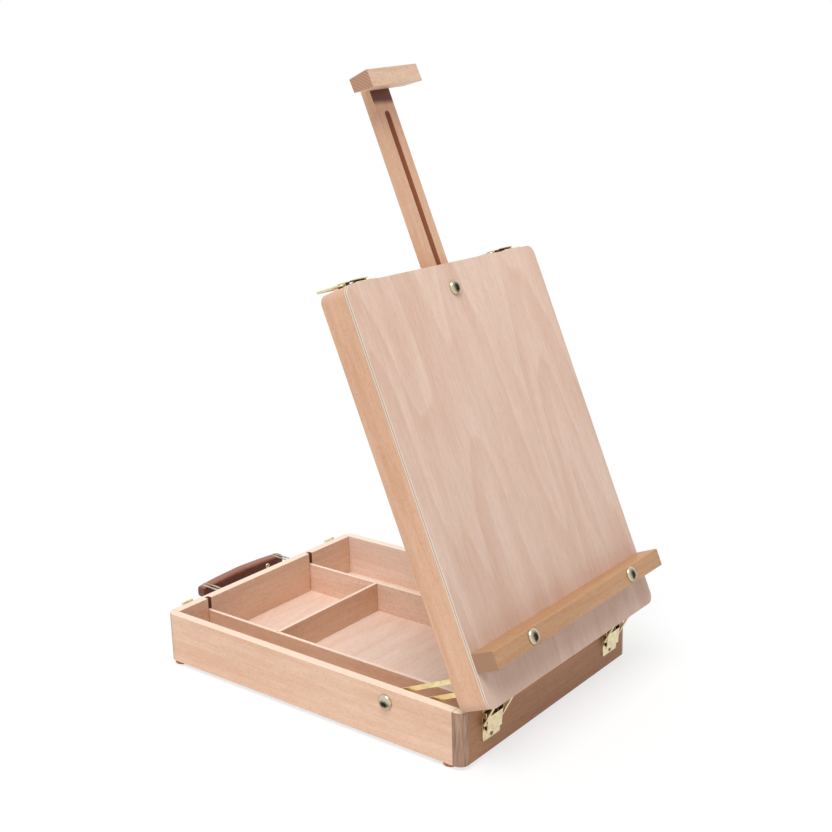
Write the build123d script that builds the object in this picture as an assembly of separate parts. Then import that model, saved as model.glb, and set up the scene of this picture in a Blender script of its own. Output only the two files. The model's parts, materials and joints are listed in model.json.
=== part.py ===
from build123d import *
import math
import os

# Table-top sketch-box easel in millimetres, lid open as in the photo.
# +X right along the hinge line, +Y from the front to the back, +Z up.
# The origin is the centre of the box's footprint, on the table.

# Box
BOX_W = 264.0
BOX_D = 350.0
BOX_H = 48.0
WALL = 8.5
CORNER_R = 8.5
FLOOR_T = 6.0
FLOOR_LET = 4.5
RIM_GAP = 0.2

# Corner joint: a stub tongue housed in the side board, stopped short of the rim
TONGUE_T = 3.5
TONGUE_D = 4.0
TONGUE_STOP = 6.0

# Feet
FOOT_R = 7.0
FOOT_H = 4.0
FOOT_SIDE_INSET = 8.0
FOOT_FRONT_INSET = 18.0
FOOT_BACK_INSET = 9.0
FOOT_TAPER = 0.6

# Dividers that lift out of routed grooves
DIVIDER_T = 3.5
DIVIDER_TOP = 36.0
DIVIDER_LEFT_X = -84.0
DIVIDER_RIGHT_X = 61.5
CROSS_DIVIDER_Y = 250.0
GROOVE_W = 4.0
GROOVE_D = 3.5
GROOVE_END = 0.3
CROSS_LET = 1.0

# Lid, measured from the hinge line: S runs up the lid, T runs out from the rim
LID_OPEN_DEG = 67.5
LID_RAIL_T = 27.0
LID_T = 30.0

# Ledge that carries the canvas
LEDGE_START = 31.5
LEDGE_END = 47.5
LEDGE_OUT = 52.0
LEDGE_EDGE = 0.8
LEDGE_BOLT_X = 79.0
LEDGE_BOLT_S = 40.0

# Mast that slides through the top rail
MAST_W = 26.5
MAST_INNER = 12.0
MAST_OUTER = 22.0
MAST_START = 165.0
MAST_END = 521.0
MAST_PLAY = 0.25
MAST_EDGE = 1.0
MAST_SLOT_W = 6.5
MAST_SLOT_LOW = 180.0
MAST_SLOT_HIGH = 490.0
MAST_BOLT_IN = 22.0
BLOCK_W = 69.0
BLOCK_START = 504.5
BLOCK_END = 520.5
BLOCK_OUT = 42.5
PAD_W = 60.0
PAD_L = 37.0
PAD_EDGE = 2.0
SLIDE_GAP = 0.1

# Bolts, washers and wing nuts
BOLT_R = 2.0
BOLT_PROUD = 1.0
DOME_R = 6.7
DOME_H = 3.2
DOME_SLOPES = ((1.0, 0.0), (0.9, 0.42), (0.6, 0.8), (0.25, 1.0))
WASHER_R = 7.5
WASHER_T = 1.0
NUT_HUB_R0 = 4.6
NUT_HUB_R1 = 3.6
NUT_HUB_H = 6.0
NUT_WING_R = 10.0
NUT_WING_H = 9.0
NUT_WING_T = 1.8
NUT_WING_ROOT = 1.6
NUT_WING_SADDLE = 5.1
NUT_WING_TIP = ((0.85, 0.45), (1.0, 0.62), (1.0, 0.82), (0.88, 1.0), (0.72, 1.0))
NUT_FIT = 0.05
NUT_GAP = 0.1

# Slotted brass stays
STAY_W = 15.5
STAY_T = 1.6
STAY_GAP = 0.1
STAY_END = 95.0
STAY_SLOT_W = 7.6
STAY_SLOT_0 = 12.0
STAY_SLOT_1 = 87.5
STAY_PIVOT_S = 20.0
STAY_PIVOT_T = 6.0
STAY_BOLT_Y = 79.0
STAY_BOLT_Z = 36.0
STAY_TURN_DEG = -1.335
STAY_SHANK_R = 1.7
STAY_PIN_R = 1.9
STAY_PIN_FIT = 0.06
STAY_PIN_DEPTH = 6.0
STAY_HEAD_R = 4.5
STAY_HEAD_H = 1.9
SPACER_R = 6.0
SPACER_T = 1.7

# Butt hinges on the front rim
HINGE_X = 38.0
HINGE_L = 36.0
HINGE_REACH = 7.5
HINGE_LEAF_T = 1.2
KNUCKLE_R = 2.25
KNUCKLE_COUNT = 3
KNUCKLE_GAP = 0.2
KNUCKLE_RELIEF = 0.35
HINGE_PIN_R = 1.0
HINGE_PIN_FIT = 0.06

# Toggle latches: U across, V from the tail to the pivot, W out from the wood
LATCH_FRONT_IN = (39.0, 33.0)
LATCH_BACK_IN = (28.5, 29.0)
LATCH_W = 24.5
LATCH_L = 28.5
LATCH_PLATE_T = 0.9
LATCH_FRONT_Z = 12.5
LATCH_BACK_T = 29.5
EAR_T = 0.75
EAR_V0 = 21.5
EAR_V1 = 26.5
EAR_H = 4.6
LEVER_HALF = 10.5
LEVER_T = 0.8
LEVER_V0 = 6.6
LEVER_V1 = 22.3
LEVER_W0 = 3.5
LEVER_W1 = 5.4
LEVER_LIP_V = 5.0
LEVER_LIP_W = 4.6
FLANGE_W = 1.2
FLANGE_TOP_V = 7.6
FLANGE_FOOT_V0 = 8.6
FLANGE_FOOT_V1 = 18.3
LEVER_PIVOT_V = 24.0
LEVER_PIVOT_W = 3.2
LEVER_PIN_R = 0.75
LEVER_PIN_FIT = 0.05
FLANGE_END_R = 1.5
FLANGE_END_DEG = (70.0, 25.0, -25.0, -70.0)
BAIL_V = 15.5
BAIL_W = 2.7
BAIL_R = 1.0
BAIL_FIT = 0.06
BAIL_HALF = 13.7
BAIL_HOOK = 9.2
BAIL_L = 28.5
BAIL_BEND = 1.6
FRONT_LEAN_DEG = 28.0
BACK_LEAN_DEG = 5.0
LATCH_CORNER = 1.2

# Hooked keepers opposite the latches
KEEPER_W = 14.0
KEEPER_T = 0.9
KEEPER_HOOK_W = 8.0
KEEPER_HOOK_H = 3.6
KEEPER_HOOK_ROOT = 1.1
KEEPER_LIP_T = 0.65
KEEPER_LIP_L = 1.5
KEEPER_FRONT = (1.5, 12.0, 5.8)
KEEPER_BACK = (0.5, 15.5, 12.7)
KEEPER_CORNER = 1.0

# Leather carrying handle on two wire rings
HANDLE_X = 50.0
HANDLE_PIVOT_Y = 5.0
HANDLE_PIVOT_Z = 40.0
BRACKET_W = 10.0
BRACKET_H = 14.0
BRACKET_T = 1.2
BARREL_R = 2.2
BARREL_W = 2.6
BRACKET_CORNER = 1.5
RING_R = 0.9
RING_FIT = 0.1
RING_HALF = 2.5
RING_L = 32.0
RING_BEND = 0.8
GRIP_Y = 34.0
GRIP_BED = 0.02
GRIP_ROUND = 0.28
GRIP_SECTIONS = (
    (-57.0, 34.6, 8.0, 9.5),
    (-50.0, 34.5, 11.5, 11.4),
    (-30.0, 35.4, 12.6, 14.6),
    (0.0, 36.0, 13.0, 16.6),
    (30.0, 35.4, 12.6, 14.6),
    (50.0, 34.5, 11.5, 11.4),
    (57.0, 34.6, 8.0, 9.5),
)

# How far a cutting shape runs past the face it opens
CUT = 1.0

# Sides of the small round pieces, which are made many-sided
PIN_SIDES = 12
BORE_SIDES = 16
DOME_SIDES = 20
DISC_SIDES = 28
WIRE_SIDES = 8

# Positions that follow from the sizes above
HALF_W = BOX_W / 2
HALF_D = BOX_D / 2
INNER_X = HALF_W - WALL
INNER_Y = HALF_D - WALL
FRONT = -HALF_D
BASE = FOOT_H
RIM = FOOT_H + BOX_H
BOX_TOP = RIM - RIM_GAP / 2
LID_BOTTOM = RIM + RIM_GAP / 2
FLOOR_TOP = BASE + FLOOR_T
STAY_X = INNER_X - SPACER_T - STAY_GAP
CLAMP_X = STAY_X - STAY_T - STAY_GAP


def block(x0, x1, y0, y1, z0, z1):
    """Box between two opposite corners."""
    size = Box(abs(x1 - x0), abs(y1 - y0), abs(z1 - z0))
    return Pos((x0 + x1) / 2, (y0 + y1) / 2, (z0 + z1) / 2) * size


def bar(start, end, radius, sides):
    """Many-sided bar between two points, its corners on the radius."""
    a, b = Vector(*start), Vector(*end)
    section = RegularPolygon(radius, sides)
    return Plane(origin=a, z_dir=b - a).location * extrude(section, (b - a).length)


def bore(start, end, radius):
    """Many-sided hole for a moving pin, its flats on the radius."""
    a, b = Vector(*start), Vector(*end)
    section = RegularPolygon(radius, BORE_SIDES, major_radius=False)
    return Plane(origin=a, z_dir=b - a).location * extrude(section, (b - a).length)


def taper(steps, sides):
    """Many-sided turned piece standing on the XY plane, from the radius and height of each step."""
    layers = []
    for (low_r, low_z), (high_r, high_z) in zip(steps, steps[1:]):
        rise = high_z - low_z
        inward = (low_r - high_r) * math.cos(math.pi / sides)
        lean = math.degrees(math.atan2(inward, rise))
        layers.append(extrude(Pos(0, 0, low_z) * RegularPolygon(low_r, sides), rise, taper=lean))
    return Part() + layers


def dome(radius, height):
    """Domed head standing on the XY plane, turned in three slopes."""
    return taper([(radius * across, height * up) for across, up in DOME_SLOPES], DOME_SIDES)


def slab(width, depth, z0, z1):
    """Slab with the box's rounded corners, centred on the box."""
    return Pos(0, 0, z0) * extrude(RectangleRounded(width, depth, CORNER_R), z1 - z0)


def wire_along(points, radius, bend, close=False):
    """Bent wire along flat points, each corner cut by the bend."""
    flat = [Vector(*point) for point in points]
    inner = range(len(flat)) if close else range(1, len(flat) - 1)
    route = []
    for index, corner in enumerate(flat):
        if index not in inner:
            route.append(corner)
            continue
        before = (flat[index - 1] - corner).normalized()
        after = (flat[(index + 1) % len(flat)] - corner).normalized()
        route.append(corner + before * bend)
        route.append(corner + after * bend)
    path = Polyline(*route, close=close)
    start = Plane(origin=path @ 0, z_dir=path % 0)
    return sweep(start * RegularPolygon(radius, WIRE_SIDES), path=path, transition=Transition.RIGHT)


def closed(s, t):
    """Y and Z of a lid point with the lid shut."""
    return FRONT + s, RIM + t


def opened(shape):
    """Swing a lid piece from shut to the pose in the photo."""
    return shape.rotate(Axis((0, FRONT, RIM), (1, 0, 0)), LID_OPEN_DEG)


def right_to_left(shape):
    """Mirror a piece of the right side to the left side."""
    return mirror(shape, about=Plane.YZ)


def floor_shape():
    """The floor panel, also the cutter for its rebate."""
    x = INNER_X + FLOOR_LET
    y = INNER_Y + FLOOR_LET
    return block(-x, x, -y, y, BASE, FLOOR_TOP)


def corner_tongue(sign_y, z0, z1):
    """The tongue at the right end of a front or back board."""
    middle = sign_y * (HALF_D - WALL / 2)
    half = TONGUE_T / 2
    return block(INNER_X, INNER_X + TONGUE_D, middle - half, middle + half, z0, z1)


def side_board(z0, z1, tongue):
    """Right side board, its end grain carried round both corners."""
    board = block(INNER_X, HALF_W, -HALF_D, HALF_D, z0, z1) & slab(BOX_W, BOX_D, z0, z1)
    for sign in (-1, 1):
        board -= corner_tongue(sign, *tongue)
    return board


def cross_board(sign_y, z0, z1, tongue):
    """Front or back board with a stub tongue at both ends."""
    board = block(-INNER_X, INNER_X, sign_y * INNER_Y, sign_y * HALF_D, z0, z1)
    end = corner_tongue(sign_y, *tongue)
    return board + end + right_to_left(end)


def divider_grooves(sign_y):
    """Grooves for the long dividers, open at the rim."""
    cuts = []
    for x in (DIVIDER_LEFT_X, DIVIDER_RIGHT_X):
        y0 = sign_y * INNER_Y
        y1 = sign_y * (INNER_Y + GROOVE_D)
        cuts.append(block(x - GROOVE_W / 2, x + GROOVE_W / 2, y0, y1, FLOOR_TOP, RIM))
    return cuts


def hinge_mortise(x, z0, z1):
    """Recess for one hinge leaf and the hollow round its knuckles."""
    leaf = block(x - HINGE_L / 2, x + HINGE_L / 2, FRONT, FRONT + HINGE_REACH, z0, z1)
    reach = HINGE_L / 2 + KNUCKLE_RELIEF
    round_hollow = bore((x - reach, FRONT, RIM), (x + reach, FRONT, RIM), KNUCKLE_R + KNUCKLE_RELIEF)
    return leaf + round_hollow


def stay_bolt_centre():
    """Y and Z of the clamp bolt in the box's side."""
    return FRONT + STAY_BOLT_Y, BASE + STAY_BOLT_Z


def box_side():
    """Right side of the box with its bolt hole and floor rebate."""
    board = side_board(BASE, BOX_TOP, (BASE, BOX_TOP - TONGUE_STOP))
    y, z = stay_bolt_centre()
    hole = bar((INNER_X - CUT, y, z), (HALF_W + CUT, y, z), STAY_SHANK_R, PIN_SIDES)
    return board - floor_shape() - hole


def box_cross(sign_y):
    """Front or back of the box with its routed grooves."""
    board = cross_board(sign_y, BASE, BOX_TOP, (BASE, BOX_TOP - TONGUE_STOP)) - floor_shape()
    for cut in divider_grooves(sign_y):
        board -= cut
    if sign_y < 0:
        for x in (-HINGE_X, HINGE_X):
            board -= hinge_mortise(x, BOX_TOP - HINGE_LEAF_T, RIM)
    return board


def long_divider(x):
    """Long divider with a shallow housing for the cross divider."""
    y = INNER_Y + GROOVE_D - GROOVE_END
    board = block(x - DIVIDER_T / 2, x + DIVIDER_T / 2, -y, y, FLOOR_TOP, BASE + DIVIDER_TOP)
    return board - cross_divider_shape()


def cross_divider_shape():
    """Cross divider, also the cutter for its two housings."""
    y = FRONT + CROSS_DIVIDER_Y
    x0 = DIVIDER_LEFT_X + DIVIDER_T / 2 - CROSS_LET
    x1 = DIVIDER_RIGHT_X - DIVIDER_T / 2 + CROSS_LET
    half = DIVIDER_T / 2
    return block(x0, x1, y - half, y + half, FLOOR_TOP, BASE + DIVIDER_TOP)


def foot(sign_x, sign_y, inset):
    """Turned, tapered foot near one corner, its middle set in from the box's front or back."""
    shape = taper([(FOOT_R - FOOT_TAPER, 0), (FOOT_R, FOOT_H)], DISC_SIDES)
    return Pos(sign_x * (HALF_W - FOOT_SIDE_INSET), sign_y * (HALF_D - inset), 0) * shape


def knuckle_span(x, index):
    """Ends of one knuckle along the hinge line."""
    pitch = HINGE_L / KNUCKLE_COUNT
    left = x - HINGE_L / 2 + pitch * index
    return left + KNUCKLE_GAP / 2, left + pitch - KNUCKLE_GAP / 2


def hinge_leaf(x, z0, z1, own):
    """Hinge leaf, shut: plate, its own knuckles, room for the others."""
    leaf = block(x - HINGE_L / 2, x + HINGE_L / 2, FRONT, FRONT + HINGE_REACH, z0, z1)
    for index in range(KNUCKLE_COUNT):
        a, b = knuckle_span(x, index)
        if index in own:
            leaf += bar((a, FRONT, RIM), (b, FRONT, RIM), KNUCKLE_R, BORE_SIDES)
        else:
            room = KNUCKLE_GAP
            leaf -= bore((a - room, FRONT, RIM), (b + room, FRONT, RIM), KNUCKLE_R + KNUCKLE_RELIEF)
    return leaf


def hinge_leaf_box(x):
    """Leaf let into the box rim, with the hinge pin."""
    leaf = hinge_leaf(x, BOX_TOP - HINGE_LEAF_T, BOX_TOP, (0, 2))
    pin = bar((x - HINGE_L / 2, FRONT, RIM), (x + HINGE_L / 2, FRONT, RIM), HINGE_PIN_R, PIN_SIDES)
    return leaf + pin


def hinge_leaf_lid(x):
    """Leaf let into the lid's bottom rail, turning on the pin."""
    leaf = hinge_leaf(x, LID_BOTTOM, LID_BOTTOM + HINGE_LEAF_T, (1,))
    reach = HINGE_L / 2 + CUT
    hole = bore((x - reach, FRONT, RIM), (x + reach, FRONT, RIM), HINGE_PIN_R + HINGE_PIN_FIT)
    return opened(leaf - hole)


def lid_side():
    """Right side rail of the lid with the stay screw's hole."""
    z1 = RIM + LID_RAIL_T
    rail = side_board(LID_BOTTOM, z1, (LID_BOTTOM + TONGUE_STOP, z1))
    y, z = closed(STAY_PIVOT_S, STAY_PIVOT_T)
    rail -= bar((INNER_X - CUT, y, z), (INNER_X + STAY_PIN_DEPTH, y, z), STAY_PIN_R, PIN_SIDES)
    return opened(rail)


def lid_cross(sign_y):
    """Bottom rail with hinge recesses, or top rail with the mast mortise."""
    z1 = RIM + LID_RAIL_T
    rail = cross_board(sign_y, LID_BOTTOM, z1, (LID_BOTTOM + TONGUE_STOP, z1))
    if sign_y < 0:
        for x in (-HINGE_X, HINGE_X):
            rail -= hinge_mortise(x, RIM, LID_BOTTOM + HINGE_LEAF_T)
    else:
        x = MAST_W / 2 + MAST_PLAY
        z0 = RIM + MAST_INNER - MAST_PLAY
        z1 = RIM + MAST_OUTER + MAST_PLAY
        rail -= block(-x, x, INNER_Y - CUT, HALF_D + CUT, z0, z1)
    return opened(rail)


def panel_bolts():
    """Closed-pose centres of the three bolts through the lid panel."""
    ledge_y = FRONT + LEDGE_BOLT_S
    return ((-LEDGE_BOLT_X, ledge_y), (LEDGE_BOLT_X, ledge_y), (0, HALF_D - MAST_BOLT_IN))


def lid_panel():
    """Plywood panel laid over the rails."""
    z0 = RIM + LID_RAIL_T
    z1 = RIM + LID_T
    panel = slab(BOX_W, BOX_D, z0, z1)
    for x, y in panel_bolts():
        panel -= bar((x, y, z0 - CUT), (x, y, z1 + CUT), BOLT_R, PIN_SIDES)
    return opened(panel)


def ledge():
    """Canvas ledge bolted across the panel."""
    y0, z0 = closed(LEDGE_START, LID_T)
    y1, z1 = closed(LEDGE_END, LEDGE_OUT)
    strip = block(-HALF_W, HALF_W, y0, y1, z0, z1)
    strip = chamfer(strip.edges().filter_by(Axis.X).group_by(Axis.Z)[-1], LEDGE_EDGE)
    for x in (-LEDGE_BOLT_X, LEDGE_BOLT_X):
        y = FRONT + LEDGE_BOLT_S
        strip -= bar((x, y, z0 - CUT), (x, y, z1 + CUT), BOLT_R, PIN_SIDES)
    return opened(strip)


def panel_bolt(x, y, head_z, seat_z):
    """Bolt through the lid: domed head, shank, washer below the seat."""
    shank_end = seat_z - WASHER_T - NUT_GAP - NUT_HUB_H - BOLT_PROUD
    bolt = bar((x, y, shank_end), (x, y, head_z), BOLT_R, PIN_SIDES)
    bolt += Pos(x, y, head_z) * dome(DOME_R, DOME_H)
    bolt += bar((x, y, seat_z - WASHER_T), (x, y, seat_z), WASHER_R, DISC_SIDES)
    return opened(bolt)


def wing_nut(bore_r):
    """Wing nut standing on the XY plane."""
    hub = taper([(NUT_HUB_R0, 0), (NUT_HUB_R1, NUT_HUB_H)], BORE_SIDES)
    tip = [(NUT_WING_R * out, NUT_WING_H * up) for out, up in NUT_WING_TIP]
    root = [(0, NUT_WING_ROOT), (NUT_HUB_R0, NUT_WING_ROOT)]
    crown = [(NUT_HUB_R1, NUT_WING_SADDLE), (0, NUT_WING_SADDLE)]
    outline = Polygon(*root, *tip, *crown, align=None)
    wing = extrude(Plane.XZ * outline, NUT_WING_T / 2, both=True)
    nut = hub + wing + mirror(wing, about=Plane.YZ)
    return nut - bore((0, 0, -CUT), (0, 0, NUT_WING_H + CUT), bore_r)


def panel_nut(x, y, seat_z):
    """Wing nut inside the lid, its wings toward the rim."""
    z = seat_z - WASHER_T - NUT_GAP
    down = Plane(origin=(x, y, z), x_dir=(1, 0, 0), z_dir=(0, 0, -1))
    return opened(down.location * wing_nut(BOLT_R + NUT_FIT))


def mast_bar():
    """Slotted bar of the mast."""
    y0, z0 = closed(MAST_START, MAST_INNER)
    y1, z1 = closed(MAST_END, MAST_OUTER)
    post = block(-MAST_W / 2, MAST_W / 2, y0, y1, z0, z1)
    post = chamfer(post.edges().filter_by(Axis.Z), MAST_EDGE)
    length = MAST_SLOT_HIGH - MAST_SLOT_LOW
    centre = FRONT + (MAST_SLOT_LOW + MAST_SLOT_HIGH) / 2
    slot = extrude(SlotOverall(length, MAST_SLOT_W, rotation=90), MAST_OUTER - MAST_INNER + 2 * CUT)
    return opened(post - Pos(0, centre, z0 - CUT) * slot)


def mast_block():
    """Upper canvas clamp, the same section as the ledge."""
    y0, z0 = closed(BLOCK_START, MAST_OUTER)
    y1, z1 = closed(BLOCK_END, BLOCK_OUT)
    shape = block(-BLOCK_W / 2, BLOCK_W / 2, y0, y1, z0, z1)
    return opened(chamfer(shape.edges().filter_by(Axis.X).group_by(Axis.Z)[-1], LEDGE_EDGE))


def mast_pad():
    """Spacer between the panel and the mast."""
    y = HALF_D - MAST_BOLT_IN
    z0 = RIM + MAST_OUTER + SLIDE_GAP
    z1 = RIM + LID_RAIL_T
    pad = block(-PAD_W / 2, PAD_W / 2, INNER_Y - PAD_L, INNER_Y, z0, z1)
    pad = chamfer(pad.edges().filter_by(Axis.Z), PAD_EDGE)
    return opened(pad - bar((0, y, z0 - CUT), (0, y, z1 + CUT), BOLT_R, PIN_SIDES))


def mast_seat():
    """Height of the mast washer's top face with the lid shut."""
    return RIM + MAST_INNER - SLIDE_GAP


def stay_bolt():
    """Right clamp bolt: head outside, spacer and washer inside the wall."""
    y, z = stay_bolt_centre()
    end = CLAMP_X - WASHER_T - NUT_GAP - NUT_HUB_H - BOLT_PROUD
    bolt = bar((end, y, z), (HALF_W, y, z), STAY_SHANK_R, PIN_SIDES)
    out = Plane(origin=(HALF_W, y, z), z_dir=(1, 0, 0))
    bolt += out.location * dome(DOME_R, DOME_H)
    bolt += bar((INNER_X - SPACER_T, y, z), (INNER_X, y, z), SPACER_R, DISC_SIDES)
    return bolt + bar((CLAMP_X - WASHER_T, y, z), (CLAMP_X, y, z), WASHER_R, DISC_SIDES)


def stay_nut():
    """Right clamp wing nut."""
    y, z = stay_bolt_centre()
    x = CLAMP_X - WASHER_T - NUT_GAP
    inward = Plane(origin=(x, y, z), x_dir=(0, 1, 0), z_dir=(-1, 0, 0))
    return inward.location * wing_nut(STAY_SHANK_R + NUT_FIT)


def stay_screw():
    """Right shoulder screw that carries the stay's upper end."""
    y, z = closed(STAY_PIVOT_S, STAY_PIVOT_T)
    screw = bar((CLAMP_X, y, z), (INNER_X + STAY_PIN_DEPTH, y, z), STAY_PIN_R, PIN_SIDES)
    screw += bar((INNER_X - SPACER_T, y, z), (INNER_X, y, z), SPACER_R, DISC_SIDES)
    head = Plane(origin=(CLAMP_X, y, z), z_dir=(-1, 0, 0))
    return opened(screw + head.location * dome(STAY_HEAD_R, STAY_HEAD_H))


def stay_pivot():
    """Y and Z of the stay's upper pivot with the lid open."""
    turn = math.radians(LID_OPEN_DEG)
    y = STAY_PIVOT_S * math.cos(turn) - STAY_PIVOT_T * math.sin(turn)
    z = STAY_PIVOT_S * math.sin(turn) + STAY_PIVOT_T * math.cos(turn)
    return FRONT + y, RIM + z


def stay():
    """Right slotted stay, lying across its clamp bolt."""
    round_r = STAY_W / 2
    length = STAY_END + round_r
    plate = Pos(length / 2 - round_r, 0) * SlotOverall(length, STAY_W)
    slot_l = STAY_SLOT_1 - STAY_SLOT_0
    plate -= Pos(STAY_SLOT_0 + slot_l / 2, 0) * SlotOverall(slot_l, STAY_SLOT_W)
    plate -= RegularPolygon(STAY_PIN_R + STAY_PIN_FIT, BORE_SIDES, major_radius=False)
    y, z = stay_pivot()
    bolt_y, bolt_z = stay_bolt_centre()
    angle = math.atan2(bolt_z - z, bolt_y - y) + math.radians(STAY_TURN_DEG)
    along = (0, math.cos(angle), math.sin(angle))
    lying = Plane(origin=(STAY_X, y, z), x_dir=along, z_dir=(-1, 0, 0))
    return lying.location * extrude(plate, STAY_T)


def front_latch_place(x):
    """Latch frame on the box's front face."""
    return Plane(origin=(x, FRONT, BASE + LATCH_FRONT_Z), x_dir=(1, 0, 0), z_dir=(0, -1, 0)).location


def back_latch_place(x):
    """Latch frame on the lid's top rail, lid shut."""
    return Plane(origin=(x, HALF_D, RIM + LATCH_BACK_T), x_dir=(1, 0, 0), z_dir=(0, 1, 0)).location


def latch_base():
    """Latch plate with its two bent-up ears."""
    half = LATCH_W / 2
    plate = block(-half, half, 0, LATCH_L, 0, LATCH_PLATE_T)
    plate = chamfer(plate.edges().filter_by(Axis.Z), LATCH_CORNER)
    for sign in (-1, 1):
        plate += block(sign * (half - EAR_T), sign * half, EAR_V0, EAR_V1, 0, EAR_H)
    pin_hole = LEVER_PIN_R + LEVER_PIN_FIT
    ends = (-half - CUT, half + CUT)
    line = [(u, LEVER_PIVOT_V, LEVER_PIVOT_W) for u in ends]
    return plate - bore(line[0], line[1], pin_hole)


def lever_profile():
    """Side outline of the lever's top plate."""
    points = (
        (LEVER_V1, LEVER_W1),
        (LEVER_V0, LEVER_W0),
        (LEVER_LIP_V + LEVER_T, LEVER_LIP_W),
        (LEVER_LIP_V, LEVER_LIP_W - LEVER_T / 2),
        (LEVER_V0 - LEVER_T / 4, LEVER_W0 - LEVER_T),
        (LEVER_V1, LEVER_W1 - LEVER_T),
    )
    return Plane.YZ * Polygon(*points, align=None)


def flange_profile():
    """Side outline of one lever flange, rounded at the pivot."""
    top = [(FLANGE_TOP_V, LEVER_W0 - LEVER_T / 2), (LEVER_V1, LEVER_W1 - LEVER_T / 2)]
    foot_line = [(FLANGE_FOOT_V1, FLANGE_W), (FLANGE_FOOT_V0, FLANGE_W)]
    end = []
    for angle in FLANGE_END_DEG:
        turn = math.radians(angle)
        v = LEVER_PIVOT_V + FLANGE_END_R * math.cos(turn)
        w = LEVER_PIVOT_W + FLANGE_END_R * math.sin(turn)
        end.append((v, w))
    return Plane.YZ * Polygon(*top, *end, *foot_line, align=None)


def lever():
    """Latch lever: sloping plate, two flanges and the pivot rod."""
    shape = extrude(lever_profile(), LEVER_HALF, both=True)
    for side in (-LEVER_HALF, LEVER_HALF - LEVER_T):
        shape += Pos(side, 0, 0) * extrude(flange_profile(), LEVER_T)
    hole = BAIL_R + BAIL_FIT
    reach = LEVER_HALF + CUT
    shape -= bore((-reach, BAIL_V, BAIL_W), (reach, BAIL_V, BAIL_W), hole)
    half = LATCH_W / 2
    ends = [(u, LEVER_PIVOT_V, LEVER_PIVOT_W) for u in (-half, half)]
    return shape + bar(ends[0], ends[1], LEVER_PIN_R, PIN_SIDES)


def bail(lean):
    """Wire bail, leaning out from the wood by an angle."""
    points = (
        (-BAIL_HOOK, 0),
        (-BAIL_HALF, 0),
        (-BAIL_HALF, BAIL_L),
        (BAIL_HALF, BAIL_L),
        (BAIL_HALF, 0),
        (BAIL_HOOK, 0),
    )
    wire = wire_along(points, BAIL_R, BAIL_BEND)
    return Pos(0, BAIL_V, BAIL_W) * Rot(lean, 0, 0) * wire


def keeper(length, catch):
    """Keeper plate with a hooked lip facing away from the latch."""
    half = KEEPER_W / 2
    plate = block(-half, half, 0, length, 0, KEEPER_T)
    plate = chamfer(plate.edges().filter_by(Axis.Z), KEEPER_CORNER)
    hook = KEEPER_HOOK_W / 2
    plate += block(-hook, hook, catch - KEEPER_HOOK_ROOT, catch, 0, KEEPER_HOOK_H)
    lip_w = KEEPER_HOOK_H - KEEPER_LIP_T
    return plate + block(-hook, hook, catch - KEEPER_HOOK_ROOT, catch + KEEPER_LIP_L, lip_w, KEEPER_HOOK_H)


def keeper_front(x):
    """Keeper on the lid's bottom rail."""
    offset, length, catch = KEEPER_FRONT
    place = Plane(origin=(x, FRONT, RIM + offset), x_dir=(1, 0, 0), z_dir=(0, -1, 0)).location
    return opened(place * keeper(length, catch))


def keeper_back(x):
    """Keeper on the box's back."""
    offset, length, catch = KEEPER_BACK
    place = Plane(origin=(x, HALF_D, RIM - offset), x_dir=(1, 0, 0), z_dir=(0, 1, 0)).location
    return place * keeper(length, catch)


def handle_ring(x, radius=RING_R):
    """Wire ring between a bracket and the grip, also the cutter for its bed."""
    corners = ((-RING_HALF, 0), (RING_HALF, 0), (RING_HALF, RING_L), (-RING_HALF, RING_L))
    ring = wire_along(corners, radius, RING_BEND, close=True)
    return Pos(x, HALF_D + HANDLE_PIVOT_Y, BASE + HANDLE_PIVOT_Z) * ring


def handle_bracket(x):
    """Bracket on the back with the eye the ring turns in."""
    z = BASE + HANDLE_PIVOT_Z
    y = HALF_D + HANDLE_PIVOT_Y
    half_h = BRACKET_H / 2
    plate = block(x - BRACKET_W / 2, x + BRACKET_W / 2, HALF_D, HALF_D + BRACKET_T, z - half_h, z + half_h)
    plate = chamfer(plate.edges().filter_by(Axis.Y), BRACKET_CORNER)
    half = BARREL_W / 2
    plate += block(x - half, x + half, HALF_D, y, z - BARREL_R, z + BARREL_R)
    plate += bar((x - half, y, z), (x + half, y, z), BARREL_R, BORE_SIDES)
    return plate - bore((x - half - CUT, y, z), (x + half + CUT, y, z), RING_R + RING_FIT)


def grip():
    """Leather grip, thicker and arched in the middle."""
    faces = []
    for x, z, width, height in GRIP_SECTIONS:
        plane = Plane(origin=(x, HALF_D + GRIP_Y, BASE + z), x_dir=(0, 1, 0), z_dir=(1, 0, 0))
        outline = Rectangle(width, height)
        faces.append(plane * chamfer(outline.vertices(), width * GRIP_ROUND))
    shape = loft(faces, ruled=True)
    for x in (-HANDLE_X, HANDLE_X):
        shape -= handle_ring(x, RING_R + GRIP_BED)
    return shape


def both_sides(pieces, name, shape):
    """Add a right-hand piece and its mirrored left-hand twin."""
    pieces[name + "_right"] = shape
    pieces[name + "_left"] = right_to_left(shape)


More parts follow.
